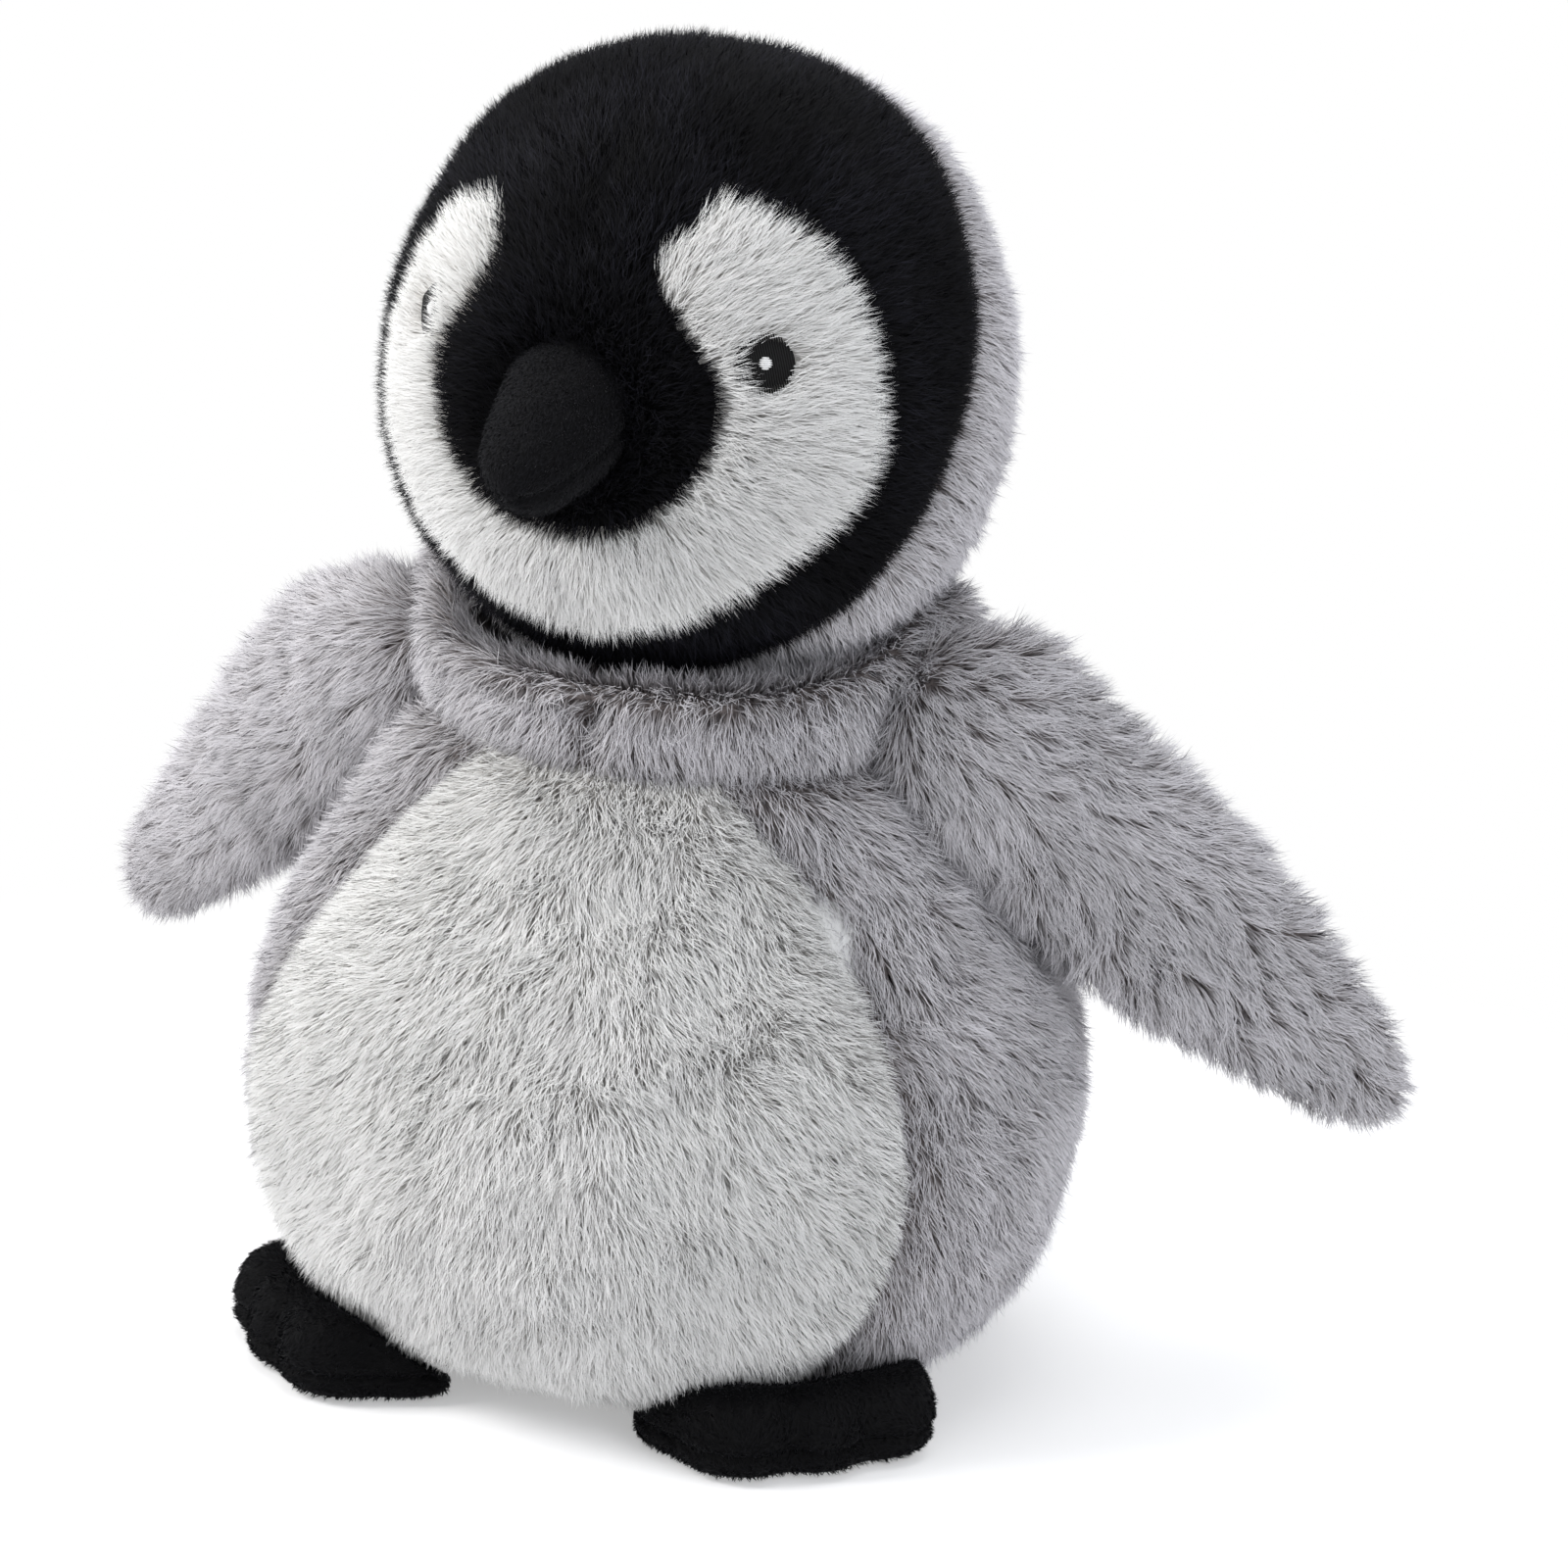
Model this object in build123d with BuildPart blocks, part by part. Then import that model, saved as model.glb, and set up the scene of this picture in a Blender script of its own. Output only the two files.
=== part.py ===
# Sitting plush penguin chick: a weighted, stuffed torso with a cream belly, a round head
# with a black cap, cream cheeks and a drooping velvet beak, two padded wings and two feet.
# Every fabric panel is a closed solid as thick as its cloth and pile, wrapped round stuffing.
# Millimetres, +Z up, origin under the middle of the seat. The penguin faces -Y.
import os
from math import cos, radians, sin

from build123d import *

os.makedirs("parts", exist_ok=True)

# ---------------------------------------------------------------- driving dimensions
pile = 5.0                    # plush cloth with its pile, on the torso, head and wings
velvet = 2.0                  # short-napped cloth of the beak
foot_cloth = 2.5              # short-pile cloth of the feet
travel_gap = 0.4              # free space between pieces that move past each other
slack = 0.2                   # looseness of a filling inside its cover

# Torso: girth stations as (height, radius), turned about Z.
torso_girth = [
    (0.0, 49.0),
    (10.0, 66.0),
    (20.0, 74.5),
    (30.0, 79.5),
    (42.0, 82.5),
    (57.0, 83.5),
    (77.0, 79.5),
    (97.0, 70.0),
    (115.0, 60.0),
    (132.0, 53.0),
    (152.0, 49.5),
]
torso_top = 152.0
base_radius = 47.0            # round base panel inside the bottom seam
base_thickness = 4.0
yoke_height = 131.0           # seam under the collar yoke

# Belly panel outline from the front: half widths at heights.
belly_half_outline = [
    (34.0, 1.0),
    (52.0, 12.0),
    (64.0, 30.0),
    (68.0, 50.0),
    (66.0, 72.0),
    (58.5, 92.0),
    (49.0, 108.0),
    (38.0, 120.0),
    (26.0, 131.0),
]

# Pellet pouch that weights the seat.
pouch_radius = 41.0
pouch_high = 34.0
pouch_cloth = 1.0

# Head: round below, a little taller above, turned and tilted as it is sewn on.
head_centre = (0.0, 0.0, 193.5)
head_radius = 60.0
crown_lift = 4.0              # the crown's ball sits this much above the lower ball
head_turn = -5.0              # degrees, towards the penguin's right
head_tilt = 4.0               # degrees, chin forward
hood_line = 2.0               # the cap meets the hood this far in front of the head's centre
hood_slant = 24.0             # degrees, the seam runs back over the crown and forward under the chin
neck_pad_radius = 36.0
neck_pad_thickness = 4.0

# Face outlines, seen square on to the face, as (sideways, upwards) from the head's centre.
cheek_outer_edge = [
    (0.0, -44.0),
    (21.0, -38.0),
    (36.0, -28.5),
    (46.0, -20.0),
    (53.0, -8.0),
    (54.0, 6.5),
    (49.0, 25.0),
    (38.0, 38.0),
    (21.0, 43.0),
]
cheek_inner_edge = [
    (21.0, 43.0),
    (17.5, 31.0),
    (23.0, 20.0),
    (29.0, 8.0),
    (27.0, -5.0),
    (21.0, -13.0),
    (12.0, -19.5),
    (0.0, -22.0),
]

# Beak: rounded cone that leaves the face and droops.
beak_seat = (46.0, 6.0)       # forward and up from the head's centre, inside the head
beak_droop = 31.0
beak_root_radius = 13.5
beak_end_radius = 8.8
beak_straight = 22.5

# Embroidered eyes.
eye_place = (36.0, 10.5)
eye_radius = 5.5
eye_depth = 2.0
eye_face = 58.6               # distance of the stitched face from the head's centre
glint_radius = 1.2
glint_depth = 0.6

# Wings: flat padded paddles, sections as (distance from shoulder, half width, half thickness).
shoulder = (60.0, -4.0, 135.0)
wing_reach = (71.0, 47.0, -74.0)
wing_sections = [
    (0.0, 21.0, 12.0),
    (25.0, 22.5, 12.0),
    (50.0, 22.0, 11.0),
    (75.0, 19.0, 9.5),
    (95.0, 15.5, 8.0),
    (110.0, 12.0, 6.5),
]
wing_lining = 4.0             # cloth and pile of a wing panel
shoulder_socket_radius = 22.0

# Feet: low oval pads set diagonally under the front of the torso.
foot_distance = 58.7
foot_bearing = 45.0
foot_half_length = 26.0
foot_half_width = 33.0
foot_height = 17.0
foot_seam_height = 6.0
toe_radius = 13.0
foot_inner_edge = 49.9        # nearest the foot comes to the torso's axis


# Head frame: forward and up directions after the turn and tilt.
turn = radians(head_turn)
tilt = radians(head_tilt)
head_at = Vector(*head_centre)
head_side = Vector(cos(turn), sin(turn), 0.0)
head_forward = Vector(sin(turn) * cos(tilt), -cos(turn) * cos(tilt), sin(tilt))
head_up = head_forward.cross(head_side)
face = Plane(origin=head_at, x_dir=head_side, z_dir=head_forward)
hood_seam = Plane(
    origin=head_at + head_forward * hood_line,
    x_dir=head_side,
    z_dir=head_forward * cos(radians(hood_slant)) + head_up * sin(radians(hood_slant)),
)
head_axis = Axis(head_at, head_up)

# Shoulder and wing frame.
shoulder_at = Vector(*shoulder)
wing_along = Vector(*wing_reach).normalized()
wing_facing = wing_along.cross(Vector(0.0, 0.0, 1.0)).normalized()
wing_across = wing_facing.cross(wing_along)
wing_plane = Plane(origin=shoulder_at, x_dir=wing_along, z_dir=wing_facing)

with BuildPart() as socket_left:
    socket_length = 2.0 * (wing_sections[0][2] + travel_gap)
    with Locations(wing_plane.location):
        Cylinder(shoulder_socket_radius, socket_length)

with BuildPart() as sockets:
    add(socket_left.part)
    mirror(about=Plane.YZ)


# ---------------------------------------------------------------- torso panels
# Half planes through the torso's axis: revolving 180 degrees from them covers one side.
facing_left = Plane(origin=(0.0, 0.0, 0.0), x_dir=(0.0, -1.0, 0.0), z_dir=(-1.0, 0.0, 0.0))
facing_front = Plane(origin=(0.0, 0.0, 0.0), x_dir=(-1.0, 0.0, 0.0), z_dir=(0.0, 1.0, 0.0))


def torso_stations(inset):
    """Girth stations as (radius, height), pulled in by inset."""
    return [(radius - inset, height) for height, radius in torso_girth]


def wall_band(start_plane, sweep, low, high):
    """Torso cloth between two heights, swept part of a turn about Z."""
    outer = torso_stations(0.0)
    inner = torso_stations(pile)
    with BuildPart() as band:
        with BuildSketch(start_plane):
            with BuildLine():
                Spline(*outer)
                Line(outer[-1], inner[-1])
                Spline(*reversed(inner))
                Line(inner[0], outer[0])
            make_face()
            with Locations((60.0, (low + high) / 2.0)):
                Rectangle(120.0, high - low, mode=Mode.INTERSECT)
            with Locations((base_radius / 2.0, 0.0)):
                Rectangle(base_radius, 2.0 * base_thickness, mode=Mode.SUBTRACT)
        revolve(axis=Axis.Z, revolution_arc=sweep)
    return band.part


with BuildPart() as base_panel:
    with Locations((0.0, 0.0, base_thickness / 2.0)):
        Cylinder(base_radius, base_thickness)

with BuildPart() as belly_prism:
    mirrored_outline = [(-x, z) for x, z in reversed(belly_half_outline)]
    with BuildSketch(Plane.XZ):
        with BuildLine():
            Line((-34.0, -2.0), (34.0, -2.0))
            Line((34.0, -2.0), (34.0, 1.0))
            Spline(*belly_half_outline)
            Line((26.0, yoke_height), (-26.0, yoke_height))
            Spline(*mirrored_outline)
            Line((-34.0, 1.0), (-34.0, -2.0))
        make_face()
    extrude(amount=100.0)

with BuildPart() as belly_panel:
    add(wall_band(facing_front, 180.0, 0.0, yoke_height))
    add(belly_prism.part, mode=Mode.INTERSECT)

with BuildPart() as side_panel_left:
    add(wall_band(facing_left, 180.0, 0.0, yoke_height))
    add(belly_prism.part, mode=Mode.SUBTRACT)
    add(socket_left.part, mode=Mode.SUBTRACT)

# The shoulders part the collar into a chest yoke in front and a nape behind.
with BuildPart() as yoke_left:
    add(wall_band(facing_left, 90.0, yoke_height, torso_top))
    add(socket_left.part, mode=Mode.SUBTRACT)

facing_aside = Plane(origin=(0.0, 0.0, 0.0), x_dir=(1.0, 0.0, 0.0), z_dir=(0.0, -1.0, 0.0))
with BuildPart() as nape_left:
    add(wall_band(facing_aside, 90.0, yoke_height, torso_top))
    add(socket_left.part, mode=Mode.SUBTRACT)

# ---------------------------------------------------------------- torso fillings
# The pellet pouch lies on the base panel: a flat bottom cloth under a domed top cloth.
pouch_floor = base_thickness + slack


def puck(radius, low, high, shoulder_round):
    """Round cushion with a flat underside and a rounded top edge."""
    with BuildPart() as body:
        with Locations((0.0, 0.0, (low + high) / 2.0)):
            Cylinder(radius, high - low)
        fillet(body.edges().group_by(Axis.Z)[-1], radius=shoulder_round)
    return body.part


pouch_seam = pouch_floor + pouch_cloth
pouch_round = 12.0

with BuildPart() as pouch_bottom:
    with Locations((0.0, 0.0, pouch_floor + pouch_cloth / 2.0)):
        Cylinder(pouch_radius, pouch_cloth)

inner_radius = pouch_radius - pouch_cloth
inner_high = pouch_high - pouch_cloth

with BuildPart() as pouch_top:
    add(puck(pouch_radius, pouch_seam, pouch_high, pouch_round))
    add(puck(inner_radius, pouch_seam, inner_high, pouch_round - pouch_cloth), mode=Mode.SUBTRACT)

with BuildPart() as pellet_fill:
    add(puck(inner_radius - slack, pouch_seam, inner_high - slack, pouch_round - 1.2))


def height_on_ball(radius, across):
    """Height of the underside of a ball about the head's centre, at a distance from Z."""
    return head_centre[2] - (radius ** 2 - across ** 2) ** 0.5


# Torso stuffing: one turned wad, open below for the pouch and dished above for the neck.
cup = head_radius + travel_gap
pad_seat = cup + neck_pad_thickness + travel_gap
pad_wall = neck_pad_radius + travel_gap
cup_rim = (cup ** 2 - (head_centre[2] - torso_top) ** 2) ** 0.5
filling = torso_stations(pile + slack)
filling[0] = (filling[0][0], pouch_floor)
pouch_bend = pouch_radius - pouch_round

with BuildPart() as torso_stuffing:
    with BuildSketch(Plane.XZ):
        with BuildLine():
            Line((pouch_radius + slack, pouch_floor), filling[0])
            Spline(*filling)
            Line(filling[-1], (cup_rim, torso_top))
            RadiusArc((cup_rim, torso_top), (pad_wall, height_on_ball(cup, pad_wall)), cup)
            Line(
                (pad_wall, height_on_ball(cup, pad_wall)),
                (pad_wall, height_on_ball(pad_seat, pad_wall)),
            )
            RadiusArc(
                (pad_wall, height_on_ball(pad_seat, pad_wall)),
                (0.0, height_on_ball(pad_seat, 0.0)),
                pad_seat,
            )
            Line((0.0, height_on_ball(pad_seat, 0.0)), (0.0, pouch_high + slack))
            Line((0.0, pouch_high + slack), (pouch_bend, pouch_high + slack))
            CenterArc((pouch_bend, pouch_high - pouch_round), pouch_round + slack, 90.0, -90.0)
            Line(
                (pouch_radius + slack, pouch_high - pouch_round),
                (pouch_radius + slack, pouch_floor),
            )
        make_face()
    revolve(axis=Axis.Z)
    add(sockets.part, mode=Mode.SUBTRACT)

# Neck pad: a shallow dished wad that the head sits on.
pad_under = cup + neck_pad_thickness
with BuildPart() as neck_pad:
    with BuildSketch(Plane.XZ):
        with BuildLine():
            RadiusArc(
                (neck_pad_radius, height_on_ball(pad_under, neck_pad_radius)),
                (0.0, height_on_ball(pad_under, 0.0)),
                pad_under,
            )
            Line((0.0, height_on_ball(pad_under, 0.0)), (0.0, height_on_ball(cup, 0.0)))
            RadiusArc(
                (0.0, height_on_ball(cup, 0.0)),
                (neck_pad_radius, height_on_ball(cup, neck_pad_radius)),
                -cup,
            )
            Line(
                (neck_pad_radius, height_on_ball(cup, neck_pad_radius)),
                (neck_pad_radius, height_on_ball(pad_under, neck_pad_radius)),
            )
        make_face()
    revolve(axis=Axis.Z)

# ---------------------------------------------------------------- head panels
# Left half of the head's cloth, swept from the face's middle line round to the back.
inner_radius = head_radius - pile
with BuildPart() as head_cloth_left:
    with BuildSketch(Plane(origin=head_at, x_dir=head_forward, z_dir=-head_side)):
        with BuildLine():
            CenterArc((0.0, 0.0), head_radius, -90.0, 90.0)
            Line((head_radius, 0.0), (head_radius, crown_lift))
            CenterArc((0.0, crown_lift), head_radius, 0.0, 90.0)
            Line((0.0, crown_lift + head_radius), (0.0, crown_lift + inner_radius))
            CenterArc((0.0, crown_lift), inner_radius, 90.0, -90.0)
            Line((inner_radius, crown_lift), (inner_radius, 0.0))
            CenterArc((0.0, 0.0), inner_radius, 0.0, -90.0)
            Line((0.0, -inner_radius), (0.0, -head_radius))
        make_face()
    revolve(axis=head_axis, revolution_arc=180.0)


def head_core_solid(inset):
    """Whole head shape pulled in by inset."""
    radius = head_radius - inset
    with BuildPart() as body:
        with BuildSketch(face):
            with BuildLine():
                Line((0.0, -radius), (0.0, crown_lift + radius))
                CenterArc((0.0, crown_lift), radius, 90.0, -90.0)
                Line((radius, crown_lift), (radius, 0.0))
                CenterArc((0.0, 0.0), radius, 0.0, -90.0)
            make_face()
        revolve(axis=head_axis)
    return body.part


droop = radians(beak_droop)
beak_at = head_at + head_forward * beak_seat[0] + head_up * beak_seat[1]
beak_along = head_forward * cos(droop) - head_up * sin(droop)
beak_over = head_forward * sin(droop) + head_up * cos(droop)
beak_axis = Axis(beak_at, beak_along)


def beak_outline(inset):
    """Half outline of the beak, as (along, out) points from root to tip."""
    root = beak_root_radius - inset
    end = beak_end_radius - inset
    return [
        (0.0, root),
        (beak_straight * 0.45, root * 0.93),
        (beak_straight, end),
        (beak_straight + end * 0.72, end * 0.69),
        (beak_straight + end, 0.0),
    ]


def beak_solid(inset):
    """Whole beak, pulled in by inset."""
    outline = beak_outline(inset)
    with BuildPart() as body:
        with BuildSketch(Plane(origin=beak_at, x_dir=beak_along, z_dir=head_side)):
            with BuildLine():
                Line((0.0, 0.0), outline[0])
                Spline(*outline, tangents=[(1.0, 0.0), (0.0, -1.0)])
                Line(outline[-1], (0.0, 0.0))
            make_face()
        revolve(axis=beak_axis)
    return body.part


beak_blank = beak_solid(0.0)

# Cheek outline prisms run a little past the face's middle line.
with BuildPart() as cheek_prism_left:
    with BuildSketch(face):
        with BuildLine():
            Spline(*cheek_outer_edge, tangents=[(1.0, 0.1), (-0.6, -0.8)])
            Spline(*cheek_inner_edge, tangents=[(-0.4, -0.9), (-1.0, 0.0)])
            Line(cheek_inner_edge[-1], (-5.0, cheek_inner_edge[-1][1]))
            Line((-5.0, cheek_inner_edge[-1][1]), (-5.0, cheek_outer_edge[0][1]))
            Line((-5.0, cheek_outer_edge[0][1]), cheek_outer_edge[0])
        make_face()
    extrude(amount=90.0)

# The eyes lie in the pile on the line from the head's centre.
eye_ahead = (head_radius ** 2 - eye_place[0] ** 2 - eye_place[1] ** 2) ** 0.5
eye_outward = head_side * eye_place[0] + head_up * eye_place[1] + head_forward * eye_ahead
eye_outward = eye_outward.normalized()
eye_plane = Plane(origin=head_at + eye_outward * eye_face, z_dir=eye_outward)


def stitched_disc(radius, low, high):
    """Round stitched patch between two depths along the eye's normal."""
    with BuildPart() as disc:
        with BuildSketch(eye_plane.offset(low)):
            Circle(radius)
        extrude(amount=high - low)
    return disc.part


with BuildPart() as front_left:
    add(head_cloth_left.part)
    split(bisect_by=hood_seam, keep=Keep.TOP)

with BuildPart() as hood_left:
    add(head_cloth_left.part)
    split(bisect_by=hood_seam, keep=Keep.BOTTOM)

with BuildPart() as cheek_left:
    add(front_left.part)
    add(cheek_prism_left.part, mode=Mode.INTERSECT)
    add(stitched_disc(eye_radius, -eye_depth, 6.0), mode=Mode.SUBTRACT)

with BuildPart() as cap_left:
    add(front_left.part)
    add(cheek_prism_left.part, mode=Mode.SUBTRACT)
    add(beak_blank, mode=Mode.SUBTRACT)

with BuildPart() as eye_left:
    add(stitched_disc(eye_radius, -eye_depth, 0.0))
    add(stitched_disc(glint_radius, -glint_depth, 0.0), mode=Mode.SUBTRACT)

with BuildPart() as eye_glint_left:
    add(stitched_disc(glint_radius, -glint_depth, 0.0))

with BuildPart() as head_stuffing:
    add(head_core_solid(pile + slack))
    add(beak_blank, mode=Mode.SUBTRACT)

with BuildPart() as beak_cloth:
    add(beak_blank)
    add(beak_solid(velvet), mode=Mode.SUBTRACT)

beak_seam_plane = Plane(origin=beak_at, x_dir=beak_along, z_dir=beak_over)
with BuildPart() as beak_upper:
    add(beak_cloth.part)
    split(bisect_by=beak_seam_plane, keep=Keep.TOP)

with BuildPart() as beak_lower:
    add(beak_cloth.part)
    split(bisect_by=beak_seam_plane, keep=Keep.BOTTOM)

with BuildPart() as beak_stuffing:
    add(beak_solid(velvet + slack))


# ---------------------------------------------------------------- wings
def wing_solid(inset):
    """Padded paddle: a round shoulder, lofted blade and round tip, pulled in by inset."""
    with BuildPart() as body:
        for distance, half_width, half_thickness in wing_sections:
            section_at = shoulder_at + wing_along * distance
            with BuildSketch(Plane(origin=section_at, x_dir=wing_across, z_dir=wing_along)):
                Ellipse(half_width - inset, half_thickness - inset)
        loft()
        for distance, half_width, half_thickness in (wing_sections[0], wing_sections[-1]):
            end_at = shoulder_at + wing_along * distance
            with BuildSketch(Plane(origin=end_at, x_dir=wing_along, z_dir=wing_across)):
                with BuildLine():
                    EllipticalCenterArc(
                        (0.0, 0.0),
                        half_width - inset,
                        half_thickness - inset,
                        start_angle=-90.0,
                        arc_size=180.0,
                    )
                    Line((0.0, inset - half_thickness), (0.0, half_thickness - inset))
                make_face()
            revolve(axis=Axis(end_at, wing_facing))
    return body.part


# Everything within reach of the torso's surface.
with BuildPart() as torso_clear:
    clear_stations = torso_stations(-travel_gap)
    with BuildSketch(Plane.XZ):
        with BuildLine():
            Line((0.0, -1.0), (clear_stations[0][0], -1.0))
            Line((clear_stations[0][0], -1.0), clear_stations[0])
            Spline(*clear_stations)
            Line(clear_stations[-1], (0.0, torso_top))
            Line((0.0, torso_top), (0.0, -1.0))
        make_face()
    revolve(axis=Axis.Z)

# What the wing has to stay clear of: the torso, except inside the shoulder socket.
with BuildPart() as torso_keep_out:
    add(torso_clear.part)
    add(socket_left.part, mode=Mode.SUBTRACT)

with BuildPart() as wing_blank:
    add(wing_solid(0.0))
    add(torso_keep_out.part, mode=Mode.SUBTRACT)

with BuildPart() as wing_stuffing:
    add(wing_solid(wing_lining + slack))
    add(torso_keep_out.part, mode=Mode.SUBTRACT)

with BuildPart() as wing_cloth:
    add(wing_blank.part)
    add(wing_solid(wing_lining), mode=Mode.SUBTRACT)

with BuildPart() as wing_front:
    add(wing_cloth.part)
    split(bisect_by=wing_plane, keep=Keep.TOP)

with BuildPart() as wing_back:
    add(wing_cloth.part)
    split(bisect_by=wing_plane, keep=Keep.BOTTOM)

# ---------------------------------------------------------------- feet
foot_angle = radians(-foot_bearing)
foot_out = Vector(cos(foot_angle), sin(foot_angle), 0.0)
foot_at = foot_out * foot_distance


def foot_solid(inset, top_round=0.0, sole_round=0.0):
    """Low oval pad with three toes, pulled in by inset, clear of the torso."""
    ground = Plane(origin=foot_at + Vector(0.0, 0.0, inset), x_dir=foot_out, z_dir=(0.0, 0.0, 1.0))
    with BuildPart() as body:
        with BuildSketch(ground):
            Ellipse(foot_half_length - inset, foot_half_width - inset)
            with Locations((14.0, -16.5), (16.5, 0.0), (14.0, 16.5)):
                Circle(toe_radius - inset)
        extrude(amount=foot_height - 2.0 * inset)
        if top_round:
            fillet(body.faces().sort_by(Axis.Z)[-1].edges(), radius=top_round)
        if sole_round:
            fillet(body.faces().sort_by(Axis.Z)[0].edges(), radius=sole_round)
        add(torso_clear.part, mode=Mode.SUBTRACT)
        inner_wall = Plane(origin=foot_out * foot_inner_edge, z_dir=foot_out)
        split(bisect_by=inner_wall, keep=Keep.TOP)
    return body.part


with BuildPart() as foot_stuffing:
    add(foot_solid(foot_cloth + slack))

with BuildPart() as foot_cloth_blank:
    add(foot_solid(0.0, top_round=5.5, sole_round=2.5))
    add(foot_solid(foot_cloth), mode=Mode.SUBTRACT)

with BuildPart() as foot_top:
    add(foot_cloth_blank.part)
    split(bisect_by=Plane.XY.offset(foot_seam_height), keep=Keep.TOP)

with BuildPart() as foot_sole:
    add(foot_cloth_blank.part)
    split(bisect_by=Plane.XY.offset(foot_seam_height), keep=Keep.BOTTOM)

# ---------------------------------------------------------------- names and export
belly_panel.part.label = "belly_panel"
base_panel.part.label = "base_panel"
torso_stuffing.part.label = "torso_stuffing"
pouch_top.part.label = "pouch_top"
pouch_bottom.part.label = "pouch_bottom"
pellet_fill.part.label = "pellet_fill"
neck_pad.part.label = "neck_pad"
head_stuffing.part.label = "head_stuffing"
beak_upper.part.label = "beak_upper"
beak_lower.part.label = "beak_lower"
beak_stuffing.part.label = "beak_stuffing"
pieces = [
    belly_panel.part,
    base_panel.part,
    torso_stuffing.part,
    pouch_top.part,
    pouch_bottom.part,
    pellet_fill.part,
    neck_pad.part,
    head_stuffing.part,
    beak_upper.part,
    beak_lower.part,
    beak_stuffing.part,
]

# Each of these has a twin on the penguin's right. The torso, wings and feet mirror across
# the torso's middle plane, and the head's panels across the turned head's own middle plane.
head_middle = Plane(origin=head_at, x_dir=head_forward, z_dir=head_side)
twins = [
    ("side_panel", side_panel_left.part, Plane.YZ),
    ("yoke", yoke_left.part, Plane.YZ),
    ("nape", nape_left.part, Plane.YZ),
    ("wing_front", wing_front.part, Plane.YZ),
    ("wing_back", wing_back.part, Plane.YZ),
    ("wing_stuffing", wing_stuffing.part, Plane.YZ),
    ("foot_top", foot_top.part, Plane.YZ),
    ("foot_sole", foot_sole.part, Plane.YZ),
    ("foot_stuffing", foot_stuffing.part, Plane.YZ),
    ("cap", cap_left.part, head_middle),
    ("hood", hood_left.part, head_middle),
    ("cheek", cheek_left.part, head_middle),
    ("eye", eye_left.part, head_middle),
    ("eye_glint", eye_glint_left.part, head_middle),
]
for name, left_part, middle in twins:
    right_part = mirror(left_part, about=middle)
    left_part.label = name + "_left"
    right_part.label = name + "_right"
    pieces.append(left_part)
    pieces.append(right_part)

for part in pieces:
    export_step(part, f"parts/{part.label}.step")
    box = part.bounding_box()
    print(
        f"{part.label:20s} solids {len(part.solids())} valid {part.is_valid} "
        f"volume {part.volume:10.1f} mm3  "
        f"box {box.min.X:7.1f} {box.min.Y:7.1f} {box.min.Z:7.1f}  "
        f"{box.max.X:7.1f} {box.max.Y:7.1f} {box.max.Z:7.1f}"
    )
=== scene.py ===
# %% [markdown]
# # A plush penguin, sewn in Blender
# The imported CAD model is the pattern: it says where every panel, hinge and filling lies, in metres.
# This notebook loads it as a fixed frame and then dresses it. Each cloth panel becomes a real skin
# with its pile standing on it, strand by strand, because a toy like this is nearly all fur and a
# painted surface would look bald at its edges.

# %% Load the frame
import math

import bpy
import numpy as np
from mathutils import Matrix, Vector


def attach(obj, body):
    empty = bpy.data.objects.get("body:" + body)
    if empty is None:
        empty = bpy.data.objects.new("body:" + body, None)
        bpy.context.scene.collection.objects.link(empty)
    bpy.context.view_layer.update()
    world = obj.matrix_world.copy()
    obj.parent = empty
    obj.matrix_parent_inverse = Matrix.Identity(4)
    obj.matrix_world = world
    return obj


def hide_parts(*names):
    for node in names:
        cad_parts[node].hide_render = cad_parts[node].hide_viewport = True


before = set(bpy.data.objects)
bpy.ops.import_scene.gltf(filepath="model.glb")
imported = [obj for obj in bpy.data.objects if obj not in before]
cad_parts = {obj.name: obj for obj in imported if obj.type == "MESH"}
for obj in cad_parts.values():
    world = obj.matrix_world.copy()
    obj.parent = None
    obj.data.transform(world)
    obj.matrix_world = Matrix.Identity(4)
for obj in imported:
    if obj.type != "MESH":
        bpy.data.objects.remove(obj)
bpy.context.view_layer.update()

mm = 0.001

def put_in_scene(name, data):
    made = bpy.data.objects.new(name, data)
    bpy.context.scene.collection.objects.link(made)
    return made

# %% [markdown]
# ## The camera
# A long lens from a little above and to one side keeps the round head and belly from looking
# swollen. The camera is built from three axes, right, up and back, so that its slight roll is
# part of the same turn and needs no second step.

# %% The camera
def studio_camera():
    azimuth, elevation, roll = map(math.radians, (20.0, 17.0, 3.3))
    back = Vector((math.sin(azimuth) * math.cos(elevation), -math.cos(azimuth) * math.cos(elevation), math.sin(elevation)))
    right = Vector((math.cos(azimuth), math.sin(azimuth), 0))
    up = back.cross(right)
    leaning_up = up * math.cos(roll) - right * math.sin(roll)
    leaning_right = right * math.cos(roll) + up * math.sin(roll)
    aim = Vector((20.5, 4.0, 115.4)) * mm
    turn = Matrix((leaning_right, leaning_up, back)).transposed().to_4x4()
    lens = bpy.data.cameras.new("studio_camera")
    lens.lens, lens.sensor_width, lens.clip_start, lens.clip_end = 154.1, 36.0, 0.05, 50.0
    camera = put_in_scene("studio_camera", lens)
    camera.matrix_world = Matrix.Translation(aim + back * 1.3) @ turn
    bpy.context.scene.camera = camera
    return camera

camera = studio_camera()
print("camera stands at", [round(v, 3) for v in camera.location])

# %% [markdown]
# ## Sums that build nodes
# Node trees are easier to read as sums than as lists of links. `Wire` stands for one socket, and
# its operators add the Math or Vector Math node that the sum needs. `Bench` makes any other node
# from its type, its settings and what goes into it. The same two classes serve the shaders and
# the Geometry Nodes trees.

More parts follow.
